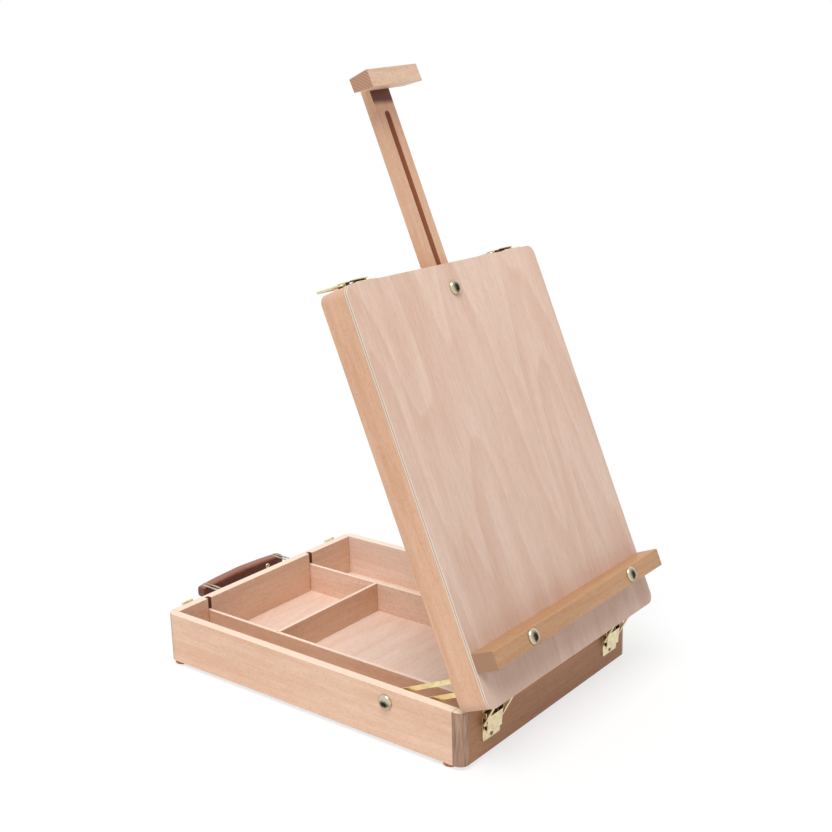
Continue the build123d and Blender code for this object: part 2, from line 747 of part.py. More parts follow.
def wood_pieces():
    """Boards, panels, dividers, feet and the canvas holders."""
    pieces = {}
    both_sides(pieces, "box_side", box_side())
    pieces["box_front"] = box_cross(-1)
    pieces["box_back"] = box_cross(1)
    pieces["box_floor"] = floor_shape()
    pieces["divider_long_left"] = long_divider(DIVIDER_LEFT_X)
    pieces["divider_long_right"] = long_divider(DIVIDER_RIGHT_X)
    pieces["divider_cross"] = cross_divider_shape()
    for row, sign_y, inset in (("front", -1, FOOT_FRONT_INSET), ("back", 1, FOOT_BACK_INSET)):
        pieces["foot_" + row + "_left"] = foot(-1, sign_y, inset)
        pieces["foot_" + row + "_right"] = foot(1, sign_y, inset)
    both_sides(pieces, "lid_side", lid_side())
    pieces["lid_bottom_rail"] = lid_cross(-1)
    pieces["lid_top_rail"] = lid_cross(1)
    pieces["lid_panel"] = lid_panel()
    pieces["ledge"] = ledge()
    pieces["mast_bar"] = mast_bar()
    pieces["mast_block"] = mast_block()
    pieces["mast_pad"] = mast_pad()
    return pieces


def clamp_pieces():
    """Hinges, stays, bolts and wing nuts."""
    pieces = {}
    both_sides(pieces, "stay", stay())
    both_sides(pieces, "stay_bolt", stay_bolt())
    both_sides(pieces, "stay_screw", stay_screw())
    both_sides(pieces, "stay_nut", stay_nut())
    panel_under = RIM + LID_RAIL_T
    for name, (x, y) in zip(("ledge_bolt_left", "ledge_bolt_right"), panel_bolts()):
        pieces[name] = panel_bolt(x, y, RIM + LEDGE_OUT, panel_under)
        pieces[name.replace("bolt", "nut")] = panel_nut(x, y, panel_under)
    x, y = panel_bolts()[2]
    pieces["mast_bolt"] = panel_bolt(x, y, RIM + LID_T, mast_seat())
    pieces["mast_nut"] = panel_nut(x, y, mast_seat())
    for side, x in (("left", -HINGE_X), ("right", HINGE_X)):
        pieces["hinge_leaf_box_" + side] = hinge_leaf_box(x)
        pieces["hinge_leaf_lid_" + side] = hinge_leaf_lid(x)
    return pieces


def latch_pieces():
    """Four toggle latches and their keepers."""
    pieces = {}
    sides = (("left", -1), ("right", 1))
    for (side, sign), front_in, back_in in zip(sides, LATCH_FRONT_IN, LATCH_BACK_IN):
        front_x = sign * (HALF_W - front_in)
        back_x = sign * (HALF_W - back_in)
        front = front_latch_place(front_x)
        back = back_latch_place(back_x)
        pieces["latch_base_front_" + side] = front * latch_base()
        pieces["lever_front_" + side] = front * lever()
        pieces["bail_front_" + side] = front * bail(FRONT_LEAN_DEG)
        pieces["latch_base_back_" + side] = opened(back * latch_base())
        pieces["lever_back_" + side] = opened(back * lever())
        pieces["bail_back_" + side] = opened(back * bail(BACK_LEAN_DEG))
        pieces["keeper_front_" + side] = keeper_front(front_x)
        pieces["keeper_back_" + side] = keeper_back(back_x)
    return pieces


def handle_pieces():
    """Carrying handle and its brackets."""
    pieces = {"handle_grip": grip()}
    both_sides(pieces, "handle_ring", handle_ring(HANDLE_X))
    both_sides(pieces, "handle_bracket", handle_bracket(HANDLE_X))
    return pieces


def main():
    """Write one STEP file per sub-part."""
    os.makedirs("parts", exist_ok=True)
    for group in (wood_pieces(), clamp_pieces(), latch_pieces(), handle_pieces()):
        for name, shape in group.items():
            export_step(shape, "parts/" + name + ".step")


main()
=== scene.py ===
"""Table-top sketch-box easel: finishes, small fittings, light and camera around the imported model."""
import json
import logging
import math
from dataclasses import dataclass, field, replace
from enum import Enum
from typing import Any, Iterable, Mapping, Sequence

import bmesh
import bpy
from mathutils import Matrix, Vector


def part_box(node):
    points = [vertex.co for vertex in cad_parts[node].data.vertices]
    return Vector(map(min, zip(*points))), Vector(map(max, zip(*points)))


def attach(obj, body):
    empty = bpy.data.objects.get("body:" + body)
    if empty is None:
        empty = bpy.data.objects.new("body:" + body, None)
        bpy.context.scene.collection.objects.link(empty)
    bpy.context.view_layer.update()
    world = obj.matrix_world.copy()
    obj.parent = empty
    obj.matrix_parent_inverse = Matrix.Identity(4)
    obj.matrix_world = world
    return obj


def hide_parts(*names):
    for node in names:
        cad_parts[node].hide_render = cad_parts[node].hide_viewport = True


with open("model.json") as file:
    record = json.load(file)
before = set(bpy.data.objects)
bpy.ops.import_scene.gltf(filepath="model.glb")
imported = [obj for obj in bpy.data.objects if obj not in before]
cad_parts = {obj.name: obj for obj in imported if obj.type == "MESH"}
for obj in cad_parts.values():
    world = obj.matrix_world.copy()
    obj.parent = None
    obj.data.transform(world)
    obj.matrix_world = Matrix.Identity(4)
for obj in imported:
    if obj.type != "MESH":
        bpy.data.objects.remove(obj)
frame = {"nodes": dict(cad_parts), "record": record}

LOG = logging.getLogger("easel")
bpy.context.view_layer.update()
MM = 0.001
WHITE = (1.0, 1.0, 1.0, 1.0)

Socket = bpy.types.NodeSocket
Material = bpy.types.Material
Pair = tuple[float, float]
Triple = tuple[float, float, float]
Colour = tuple[float, float, float, float]

# The box's front and back faces along Y and its rim above the table, in millimetres
BOX_FRONT, BOX_BACK, BOX_RIM = -175.0, 175.0, 52.0
# Tails of the latches, in millimetres: above the table, and up the lid and out from its rim
FRONT_LATCH_Z = 16.5
BACK_LATCH = (350.0, 29.5)
# The open lid: its angle, its hinge line in metres, and the ways up it and out of it
LID_OPEN = math.radians(67.5)
HINGE_LINE = Vector((0.0, BOX_FRONT, BOX_RIM)) * MM
LID_UP = Vector((0.0, math.cos(LID_OPEN), math.sin(LID_OPEN)))
LID_OUT = Vector((0.0, -math.sin(LID_OPEN), math.cos(LID_OPEN)))
AXIS_X = Vector((1.0, 0.0, 0.0))
AXIS_Y = Vector((0.0, 1.0, 0.0))
AXIS_Z = Vector((0.0, 0.0, 1.0))


class Side(Enum):
    """The two sides of the easel, as node names say them."""

    LEFT = "left"
    RIGHT = "right"


class Row(Enum):
    """The two rows of latches: on the box's front, and on the lid's top rail."""

    FRONT = "front"
    BACK = "back"


class Grain(Enum):
    """How a board was cut: the way its fibres run, and the way through its thickness."""

    BOX_SIDE = (AXIS_Y, AXIS_X)
    BOX_CROSS = (AXIS_X, AXIS_Y)
    BOX_FLAT = (AXIS_X, AXIS_Z)
    UPRIGHT = (AXIS_Z, AXIS_Y)
    LID_SIDE = (LID_UP, AXIS_X)
    LID_CROSS = (AXIS_X, LID_UP)
    LID_FACE = (LID_UP, LID_OUT)
    LID_STRIP = (AXIS_X, LID_OUT)

    @property
    def turn(self) -> Matrix:
        """Rotation from the row frame to fibre, width and thickness."""
        along, through = self.value
        return Matrix((along, through.cross(along), through))

    @property
    def origin(self) -> Vector:
        """Point where the grain coordinates are zero."""
        return HINGE_LINE.copy() if "LID" in self.name else Vector()


def linear(code: str) -> Colour:
    """Turns an sRGB hex code into a linear colour.

    Args:
        code: Six hex digits, with or without a leading hash.

    Returns:
        Linear red, green, blue and an alpha of one.
    """
    digits = code.lstrip("#")
    parts = [int(digits[i:i + 2], 16) / 255 for i in (0, 2, 4)]
    channels = [c / 12.92 if c <= 0.04045 else ((c + 0.055) / 1.055) ** 2.4 for c in parts]
    return (channels[0], channels[1], channels[2], 1.0)


class Shader:
    """The node tree of a material or a world while it is being written."""

    def __init__(self, owner: bpy.types.Material | bpy.types.World) -> None:
        """Empties the owner's node tree.

        Args:
            owner: The material or world to write.
        """
        owner.use_nodes = True
        self.owner = owner
        self.tree = owner.node_tree
        self.tree.nodes.clear()

    def add(self, kind: str, settings: Mapping[Any, Any], outlet: int | str = 0) -> Socket:
        """Adds one node with its settings and links.

        Args:
            kind: Blender's name of the node type.
            settings: Node attributes and input sockets by name or index. A socket as value is linked.
            outlet: Which output to return.

        Returns:
            The chosen output socket, or the node's first input where it has no output.
        """
        node = self.tree.nodes.new(kind)
        for key, value in settings.items():
            if isinstance(key, str) and hasattr(node, key):
                setattr(node, key, value)
            elif isinstance(value, Socket):
                self.tree.links.new(value, node.inputs[key])
            else:
                node.inputs[key].default_value = value
        return node.outputs[outlet] if len(node.outputs) else node.inputs[0]

    def surface(self, settings: Mapping[Any, Any]) -> Material:
        """Closes the material with a principled surface.

        Args:
            settings: Inputs of the principled node.

        Returns:
            The finished material.
        """
        shade = self.add("ShaderNodeBsdfPrincipled", settings)
        self.add("ShaderNodeOutputMaterial", {"Surface": shade})
        return self.owner


@dataclass(frozen=True)
class Blots:
    """Noise drawn out along the fibres: size of a blot, where it starts and is full, and its strength."""

    length_mm: float
    width_mm: float
    starts: float
    full: float
    detail: float
    amount: float


# Beech's rays, pores and streaks. The pores are drawn longer and wider than real ones, so that they show
RAY_FLECKS = Blots(2.8, 0.5, 0.58, 0.7, 1.0, 0.42)
PORES = Blots(38.0, 0.55, 0.3, 0.75, 4.0, 0.2)
STREAKS = Blots(60.0, 2.4, 0.3, 0.72, 3.0, 0.16)
CLOUDS = Blots(140.0, 22.0, 0.3, 0.7, 2.0, 0.22)
MOTTLE = Blots(9.0, 3.2, 0.3, 0.7, 2.0, 0.16)
# How far boards of one finish lie apart in the pattern, in metres along, across and through the fibres
BOARD_SHIFT = (3.1, 0.17, 0.09)
# How squarely a face must look one way for its colour to start and to be full
TOP_FACES = (0.6, 0.95)
END_FACES = (0.12, 0.6)
SHEET_FACES = (0.3, 0.8)


@dataclass(frozen=True)
class RoutedCuts:
    """Straight routed cuts whose walls are browned by cutter scorch together with painted shade in the
    recess, in millimetres.
    """

    # Middles along X, and the half width that takes in the walls
    middles: tuple[float, ...]
    half: float
    # Where the walls lie through the thickness and along the fibres
    depth: Pair
    span: Pair = (-1000.0, 1000.0)
    # Colour of the walls: cutter scorch together with painted shade in the recess
    brown: str = "#96491f"
    amount: float = 0.85


@dataclass(frozen=True)
class EndStrip:
    """Another board's end grain that shows at a board's corner, behind a dark joint line."""

    # Where the strip ends along Y, and half the joint line, in millimetres
    ends_y: float
    line_half: float = 0.35
    # Width and height of a streak
    streak_mm: Pair = (1.923, 22.22)
    streak_edges: Pair = (0.34, 0.72)
    pale: str = "#ae8b73"
    dark: str = "#795845"
    line: str = "#5f4232"
    line_amount: float = 0.6


@dataclass(frozen=True)
class PaintedTipShadow:
    """A painted shadow that comes in towards the tip of a board's outer face, where the clamp block shades
    the mast.
    """

    # Where it starts and is full along the fibres, in millimetres
    reach: Pair
    colour: str = "#542010"
    amount: float = 0.95


@dataclass(frozen=True)
class Plies:
    """The cut edge of a three-ply sheet."""

    # Depths of the sheet's two faces, in millimetres
    faces: Pair
    colour: str
    # The line between two layers is blurred over this share of a layer's half
    blur: float = 0.2


@dataclass(frozen=True)
class WoodFinish:
    """Planed and lacquered wood with growth rings, ray flecks, fine pores and duller end grain.

    Sizes are real millimetres.
    """

    name: str
    pale: str
    dark: str
    fleck: str
    end: str
    end_amount: float = 0.92
    # Colour of the sanded upper edges together with painted light on every face that looks up, and how much
    # it covers
    rim: str | None = None
    rim_and_top_light_amount: float = 0.75
    # Growth lines on the board's face: length and width of a flame, lines in it, and their strength
    figure_mm: Pair = (330.0, 17.0)
    figure_bands: float = 2.0
    figure_amount: float = 0.17
    # Where in a growth line its dark is full and where it starts to drop, as shares of the line
    figure_turns: Pair = (0.86, 0.9)
    flecks: Blots = RAY_FLECKS
    pores: Blots = PORES
    streaks: Blots = STREAKS
    clouds: Blots = CLOUDS
    mottle: Blots = MOTTLE
    # Middle of the growth rings across the board, along its width and its thickness
    pith_mm: Pair = (-50.0, -70.0)
    ring_mm: float = 1.9
    ring_amount: float = 0.4
    # Painted shade: how much darker the colour is at the start of a stretch of the fibres than at its end
    painted_shade: float = 0.0
    painted_shade_mm: Pair = (20.0, 340.0)
    end_strip: EndStrip | None = None
    cuts: RoutedCuts | None = None
    # Painted shadow towards the tip of the outer face
    painted_tip_shadow: PaintedTipShadow | None = None
    plies: Plies | None = None
    # Satin lacquer: the pores are rougher than the rest and lie a little lower, as the flecks do
    roughness: float = 0.46
    pore_roughness: float = 0.12
    fleck_relief: float = 0.6
    relief: float = 0.12
    relief_mm: float = 0.25
    coat: float = 0.06
    coat_roughness: float = 0.3


class WoodPainter(Shader):
    """Writes the material of a wood finish for boards that are cut one way."""

    def __init__(self, finish: WoodFinish, grain: Grain) -> None:
        """Opens the material and sets out where a point lies in its board.

        Args:
            finish: The wood and its lacquer.
            grain: The cut of the boards.
        """
        super().__init__(bpy.data.materials.new(f"{finish.name}_{grain.name.lower()}"))
        self.finish = finish
        self.along, self.through = grain.value
        turn = grain.turn
        self.spot = self.add("ShaderNodeTexCoord", {}, "Object")
        self.normal = self.add("ShaderNodeTexCoord", {}, "Normal")
        self.cut = self.add("ShaderNodeMapping", {
            "Vector": self.spot,
            "Rotation": turn.to_euler(),
            "Location": -(turn @ grain.origin),
        })
        board = self.add("ShaderNodeObjectInfo", {}, "Random")
        shift = self.add("ShaderNodeVectorMath", {"operation": "SCALE", 0: BOARD_SHIFT, "Scale": board})
        self.fibres = self.add("ShaderNodeVectorMath", {"operation": "ADD", 0: self.cut, 1: shift})

    def paint(self) -> Material:
        """Writes the whole material.

        Returns:
            The finished material.
        """
        wood = self.finish
        flecks = self._blots(wood.flecks)
        pores = self._blots(wood.pores)
        colour = self._board(pores)
        colour = self._laid_over(colour, flecks, wood.flecks.amount, linear(wood.fleck))
        if wood.rim:
            # Sanded rims and painted light from above: every face that looks up is made paler
            upward = self._facing(AXIS_Z, TOP_FACES)
            colour = self._laid_over(colour, upward, wood.rim_and_top_light_amount, linear(wood.rim))
        ends = self._facing(self.along, END_FACES)
        colour = self._laid_over(colour, ends, wood.end_amount, self._end_grain())
        if wood.end_strip:
            colour = self._with_end_strip(colour, wood.end_strip)
        if wood.cuts:
            colour = self._with_scorched_and_shaded_cuts(colour, wood.cuts)
        if wood.painted_tip_shadow:
            colour = self._with_painted_tip_shadow(colour, wood.painted_tip_shadow)
        if wood.plies:
            colour = self._with_plies(colour, wood.plies)
        rough = self.add("ShaderNodeMath", {
            "operation": "MULTIPLY_ADD", 0: pores, 1: wood.pore_roughness, 2: wood.roughness,
        })
        relief = self.add("ShaderNodeMath", {
            "operation": "MULTIPLY_ADD", 0: flecks, 1: wood.fleck_relief, 2: pores,
        })
        bump = self.add("ShaderNodeBump", {
            "invert": True, "Strength": wood.relief, "Distance": wood.relief_mm * MM, "Height": relief,
        })
        return self.surface({
            "Base Color": colour,
            "Roughness": rough,
            "Normal": bump,
            "Coat Weight": wood.coat,
            "Coat Roughness": wood.coat_roughness,
        })

    def _board(self, pores: Socket) -> Socket:
        """Colour of the board's faces under the flecks.

        Args:
            pores: Mask of the pores.

        Returns:
            The colour.
        """
        wood = self.finish
        layers = [(self._figure(), wood.figure_amount)]
        layers += [(self._blots(blots), blots.amount) for blots in (wood.clouds, wood.mottle, wood.streaks)]
        layers.append((pores, wood.pores.amount))
        tone: Socket | float = 0.0
        for mask, amount in layers:
            tone = self.add("ShaderNodeMath", {
                "operation": "MULTIPLY_ADD", "use_clamp": True, 0: mask, 1: amount, 2: tone,
            })
        colour = self.add("ShaderNodeMix", {
            "data_type": "RGBA", 0: tone, 6: linear(wood.pale), 7: linear(wood.dark),
        }, 2)
        if not wood.painted_shade:
            return colour
        # Painted shade: darker towards the start of the stretch, which on the lid panel is its bottom
        along = self.add("ShaderNodeSeparateXYZ", {"Vector": self.cut}, "X")
        start, end = wood.painted_shade_mm
        share = self.add("ShaderNodeMapRange", {
            "Value": along, "From Min": start * MM, "From Max": end * MM, "To Min": 1.0 - wood.painted_shade,
        })
        return self.add("ShaderNodeVectorMath", {"operation": "SCALE", 0: colour, "Scale": share})

    def _laid_over(self, colour: Socket, mask: Socket, amount: float, top: Socket | Colour) -> Socket:
        """Lays a colour over the board's where a mask says.

        Args:
            colour: Colour of the board so far.
            mask: Where the new colour goes, from nought to one.
            amount: How much of it covers at most.
            top: The new colour.

        Returns:
            The colour with the new one over it.
        """
        share = self.add("ShaderNodeMath", {"operation": "MULTIPLY", 0: mask, 1: amount})
        return self.add("ShaderNodeMix", {"data_type": "RGBA", 0: share, 6: colour, 7: top}, 2)

    def _drawn_out(self, length_mm: float, width_mm: float) -> Socket:
        """Grain coordinates in which a pattern of that length and width has a size of one."""
        scale = (1 / (length_mm * MM), 1 / (width_mm * MM), 1 / (width_mm * MM))
        return self.add("ShaderNodeVectorMath", {"operation": "MULTIPLY", 0: self.fibres, 1: scale})

    def _blots(self, blots: Blots) -> Socket:
        """Mask of blots that are drawn out along the fibres.

        Args:
            blots: Their size, edges and detail.

        Returns:
            The mask, from nought to one.
        """
        drawn = self._drawn_out(blots.length_mm, blots.width_mm)
        noise = self.add("ShaderNodeTexNoise", {"Vector": drawn, "Scale": 1.0, "Detail": blots.detail})
        low, high = blots.starts, blots.full
        return self.add("ShaderNodeMapRange", {
            "interpolation_type": "SMOOTHSTEP", "Value": noise, "From Min": low, "From Max": high,
        })

    def _figure(self) -> Socket:
        """Growth lines as the cut shows them: nested flames drawn out along the fibres.

        Returns:
            The mask: each line darkens slowly and ends sharply.
        """
        hills = self.add("ShaderNodeTexNoise", {
            "Vector": self._drawn_out(*self.finish.figure_mm), "Scale": 1.0, "Detail": 1.5, "Roughness": 0.4,
        })
        phase = self.add("ShaderNodeMath", {
            "operation": "MULTIPLY", 0: hills, 1: self.finish.figure_bands * 2,
        })
        saw = self.add("ShaderNodeMath", {"operation": "FRACT", 0: phase})
        full, drops = self.finish.figure_turns
        rise = self.add("ShaderNodeMapRange", {
            "interpolation_type": "SMOOTHSTEP", "Value": saw, "From Max": full,
        })
        drop = self.add("ShaderNodeMapRange", {
            "interpolation_type": "SMOOTHSTEP", "Value": saw, "From Min": drops, "To Min": 1.0, "To Max": 0.0,
        })
        return self.add("ShaderNodeMath", {"operation": "MULTIPLY", 0: rise, 1: drop})

    def _facing(self, way: Vector, edges: Pair) -> Socket:
        """Mask of the faces that look one way, forward or back.

        Args:
            way: The way.
            edges: How squarely a face must look that way for the mask to start and to be full.

        Returns:
            The mask, from nought to one.
        """
        dot = self.add("ShaderNodeVectorMath", {
            "operation": "DOT_PRODUCT", 0: self.normal, 1: way,
        }, "Value")
        size = self.add("ShaderNodeMath", {"operation": "ABSOLUTE", 0: dot})
        low, high = edges
        return self.add("ShaderNodeMapRange", {"Value": size, "From Min": low, "From Max": high})

    def _within(self, place: Socket, span_mm: Pair) -> Socket:
        """One where a coordinate lies within a span, otherwise nought.

        Args:
            place: The coordinate in metres.
            span_mm: Both ends of the span.

        Returns:
            The mask.
        """
        low, high = span_mm
        return self.add("ShaderNodeMath", {
            "operation": "COMPARE", 0: place, 1: (low + high) / 2 * MM, 2: (high - low) / 2 * MM,
        })

    def _end_grain(self) -> Socket:
        """Colour of the board's ends: growth rings, arcs round a pith outside the board.

        Returns:
            The colour.
        """
        wood = self.finish
        across = self.add("ShaderNodeVectorMath", {
            "operation": "MULTIPLY", 0: self.cut, 1: (0.0, 1.0, 1.0),
        })
        pith = Vector((0.0, *wood.pith_mm)) * MM
        away = self.add("ShaderNodeVectorMath", {"operation": "DISTANCE", 0: across, 1: pith}, "Value")
        count = self.add("ShaderNodeMath", {"operation": "DIVIDE", 0: away, 1: wood.ring_mm * MM})
        saw = self.add("ShaderNodeMath", {"operation": "FRACT", 0: count})
        rings = self.add("ShaderNodeMapRange", {
            "interpolation_type": "SMOOTHSTEP", "Value": saw, "To Max": wood.ring_amount,
        })
        return self.add("ShaderNodeMix", {
            "data_type": "RGBA", 0: rings, 6: linear(wood.end), 7: linear(wood.fleck),
        }, 2)

    def _with_end_strip(self, colour: Socket, strip: EndStrip) -> Socket:
        """Shows the front board's end grain at a side board's corner, behind a dark joint line.

        Args:
            colour: Colour of the side board.
            strip: The strip.

        Returns:
            The colour with the strip.
        """
        y = self.add("ShaderNodeSeparateXYZ", {"Vector": self.spot}, "Y")
        width, height = strip.streak_mm
        scale = (1 / (width * MM), 1 / (width * MM), 1 / (height * MM))
        upright = self.add("ShaderNodeVectorMath", {"operation": "MULTIPLY", 0: self.spot, 1: scale})
        noise = self.add("ShaderNodeTexNoise", {"Vector": upright, "Scale": 1.0, "Detail": 2.0})
        low, high = strip.streak_edges
        streaks = self.add("ShaderNodeMapRange", {"Value": noise, "From Min": low, "From Max": high})
        streaked = self.add("ShaderNodeMix", {
            "data_type": "RGBA", 0: streaks, 6: linear(strip.pale), 7: linear(strip.dark),
        }, 2)
        upward = self._facing(AXIS_Z, TOP_FACES)
        outward = self.add("ShaderNodeMath", {"operation": "SUBTRACT", 0: 1.0, 1: upward})
        ahead = self.add("ShaderNodeMath", {"operation": "LESS_THAN", 0: y, 1: strip.ends_y * MM})
        shown = self.add("ShaderNodeMath", {"operation": "MULTIPLY", 0: ahead, 1: outward})
        colour = self._laid_over(colour, shown, 1.0, streaked)
        line = self._within(y, (strip.ends_y - strip.line_half, strip.ends_y + strip.line_half))
        return self._laid_over(colour, line, strip.line_amount, linear(strip.line))

    def _with_scorched_and_shaded_cuts(self, colour: Socket, cuts: RoutedCuts) -> Socket:
        """Browns the walls of routed cuts with cutter scorch and painted shade.

        Args:
            colour: Colour of the board.
            cuts: Where the walls are, and their colour.

        Returns:
            The colour with the browned walls.
        """
        x = self.add("ShaderNodeSeparateXYZ", {"Vector": self.spot}, "X")
        inside: Socket | float = 1.0
        for axis, span in (("X", cuts.span), ("Z", cuts.depth)):
            place = self.add("ShaderNodeSeparateXYZ", {"Vector": self.cut}, axis)
            inside = self.add("ShaderNodeMath", {
                "operation": "MULTIPLY", 0: inside, 1: self._within(place, span),
            })
        for middle in cuts.middles:
            near = self._within(x, (middle - cuts.half, middle + cuts.half))
            wall = self.add("ShaderNodeMath", {"operation": "MULTIPLY", 0: near, 1: inside})
            colour = self._laid_over(colour, wall, cuts.amount, linear(cuts.brown))
        return colour

    def _with_painted_tip_shadow(self, colour: Socket, tip: PaintedTipShadow) -> Socket:
        """Paints shadow on the tip of the board's outer face.

        Args:
            colour: Colour of the board.
            tip: Where the painted shadow comes in, and its colour.

        Returns:
            The colour with the painted shadow.
        """
        along = self.add("ShaderNodeSeparateXYZ", {"Vector": self.cut}, "X")
        start, full = tip.reach
        near = self.add("ShaderNodeMapRange", {
            "interpolation_type": "SMOOTHSTEP", "Value": along, "From Min": start * MM, "From Max": full * MM,
        })
        dot = self.add("ShaderNodeVectorMath", {
            "operation": "DOT_PRODUCT", 0: self.normal, 1: self.through,
        }, "Value")
        outer = self.add("ShaderNodeMath", {"operation": "GREATER_THAN", 0: dot, 1: 0.5})
        share = self.add("ShaderNodeMath", {"operation": "MULTIPLY", 0: near, 1: outer})
        return self._laid_over(colour, share, tip.amount, linear(tip.colour))

    def _with_plies(self, colour: Socket, plies: Plies) -> Socket:
        """Shows the layers on the cut edges of a three-ply sheet.

        Args:
            colour: Colour of the face veneer.
            plies: The sheet's faces and the colour of its outer layers.

        Returns:
            The colour with the layers on the edges.
        """
        low, high = plies.faces
        depth = self.add("ShaderNodeSeparateXYZ", {"Vector": self.cut}, "Z")
        middle = (low + high) / 2 * MM
        off = self.add("ShaderNodeMath", {"operation": "SUBTRACT", 0: depth, 1: middle})
        away = self.add("ShaderNodeMath", {"operation": "ABSOLUTE", 0: off})
        half = (high - low) / 6 * MM
        core = self.add("ShaderNodeMapRange", {
            "Value": away,
            "From Min": half * (1 - plies.blur),
            "From Max": half * (1 + plies.blur),
            "To Min": 1.0,
            "To Max": 0.0,
        })
        edge = self.add("ShaderNodeMix", {
            "data_type": "RGBA", 0: core, 6: linear(plies.colour), 7: linear(self.finish.end),
        }, 2)
        face = self._facing(self.through, SHEET_FACES)
        return self.add("ShaderNodeMix", {"data_type": "RGBA", 0: face, 6: edge, 7: colour}, 2)


@dataclass(frozen=True)
class PaintedCrownReflection:
    """A painted dark reflection on the crown of a domed head, set off-centre so that a painted highlight
    stays bright beside it, in millimetres.
    """

    radius: float
    # How the patch is squeezed along each axis, and its middle after that
    squeeze: Triple = (1.2, 0.75, 1.0)
    middle: Triple = (-1.1, -0.2, 3.0)
    # How ragged its edge is, and where it starts to fade and is gone, in radii
    ragged: float = 1.2
    fade: Pair = (0.95, 2.25)


@dataclass(frozen=True)
class MetalFinish:
    """Metal with fine brush lines, faintly tarnished patches and soft edges in its shine; on a dome, a
    painted dark reflection with a painted highlight in place of the patches.
    """

    name: str
    bright: str
    dull: str
    # Colour of the tarnished patches; on a dome, of the painted dark reflection
    roughness: float
    brush_amount: float = 0.15
    # Length and width of a brush line, drawn coarser than real brushing so that it shows
    brush_mm: Pair = (9.0, 0.16)
    brush_relief_mm: float = 0.05
    tarnish_mm: float = 5.0
    tarnish_edges: Pair = (0.4, 0.75)
    crown: PaintedCrownReflection | None = None

    def build(self) -> Material:
        """Writes the metal material.

        Returns:
            The node material.
        """
        shader = Shader(bpy.data.materials.new(self.name))
        spot = shader.add("ShaderNodeTexCoord", {}, "Object")
        upright = AXIS_X.rotation_difference(AXIS_Z).inverted().to_euler()
        lined = shader.add("ShaderNodeMapping", {"Vector": spot, "Rotation": upright})
        length, width = self.brush_mm
        drawn = shader.add("ShaderNodeVectorMath", {
            "operation": "MULTIPLY", 0: lined, 1: (1 / (length * MM), 1 / (width * MM), 1 / (width * MM)),
        })
        lines = shader.add("ShaderNodeTexNoise", {"Vector": drawn, "Scale": 1.0, "Detail": 3.0})
        patches = shader.add("ShaderNodeTexNoise", {
            "Vector": spot, "Scale": 1 / (self.tarnish_mm * MM), "Detail": 3.0,
        })
        # On a dome, the dark share is a painted reflection in place of tarnished patches
        if self.crown:
            tarnish_and_reflection = self._painted_reflection(shader, spot, patches, self.crown)
        else:
            low, high = self.tarnish_edges
            tarnish_and_reflection = shader.add("ShaderNodeMapRange", {"Value": patches, "From Min": low, "From Max": high})
        colour = shader.add("ShaderNodeMix", {
            "data_type": "RGBA", 0: tarnish_and_reflection, 6: linear(self.bright), 7: linear(self.dull),
        }, 2)
        smoothest = self.roughness - self.brush_amount / 2
        rough = shader.add("ShaderNodeMath", {
            "operation": "MULTIPLY_ADD", 0: lines, 1: self.brush_amount, 2: smoothest,
        })
        bump = shader.add("ShaderNodeBump", {
            "Strength": self.brush_amount, "Distance": self.brush_relief_mm * MM, "Height": lines,
        })
        return shader.surface({"Base Color": colour, "Metallic": 1.0, "Roughness": rough, "Normal": bump})

    def _painted_reflection(self, shader: Shader, spot: Socket, patches: Socket, crown: PaintedCrownReflection) -> Socket:
        """Share of the painted dark reflection: uneven and full at the crown, gone towards the edge.

        Args:
            shader: The material being written.
            spot: Place on the head.
            patches: Noise that makes the patch uneven.
            crown: The patch.

        Returns:
            The share, from nought to one.
        """
        drawn = shader.add("ShaderNodeVectorMath", {"operation": "MULTIPLY", 0: spot, 1: crown.squeeze})
        away = shader.add("ShaderNodeVectorMath", {
            "operation": "DISTANCE", 0: drawn, 1: Vector(crown.middle) * MM,
        }, "Value")
        reach = shader.add("ShaderNodeMath", {"operation": "DIVIDE", 0: away, 1: crown.radius * MM})
        uneven = shader.add("ShaderNodeMath", {
            "operation": "MULTIPLY_ADD", 0: patches, 1: crown.ragged, 2: reach,
        })
        start, gone = crown.fade
        return shader.add("ShaderNodeMapRange", {
            "interpolation_type": "SMOOTHSTEP",
            "Value": uneven,
            "From Min": start,
            "From Max": gone,
            "To Min": 1.0,
            "To Max": 0.0,
        })


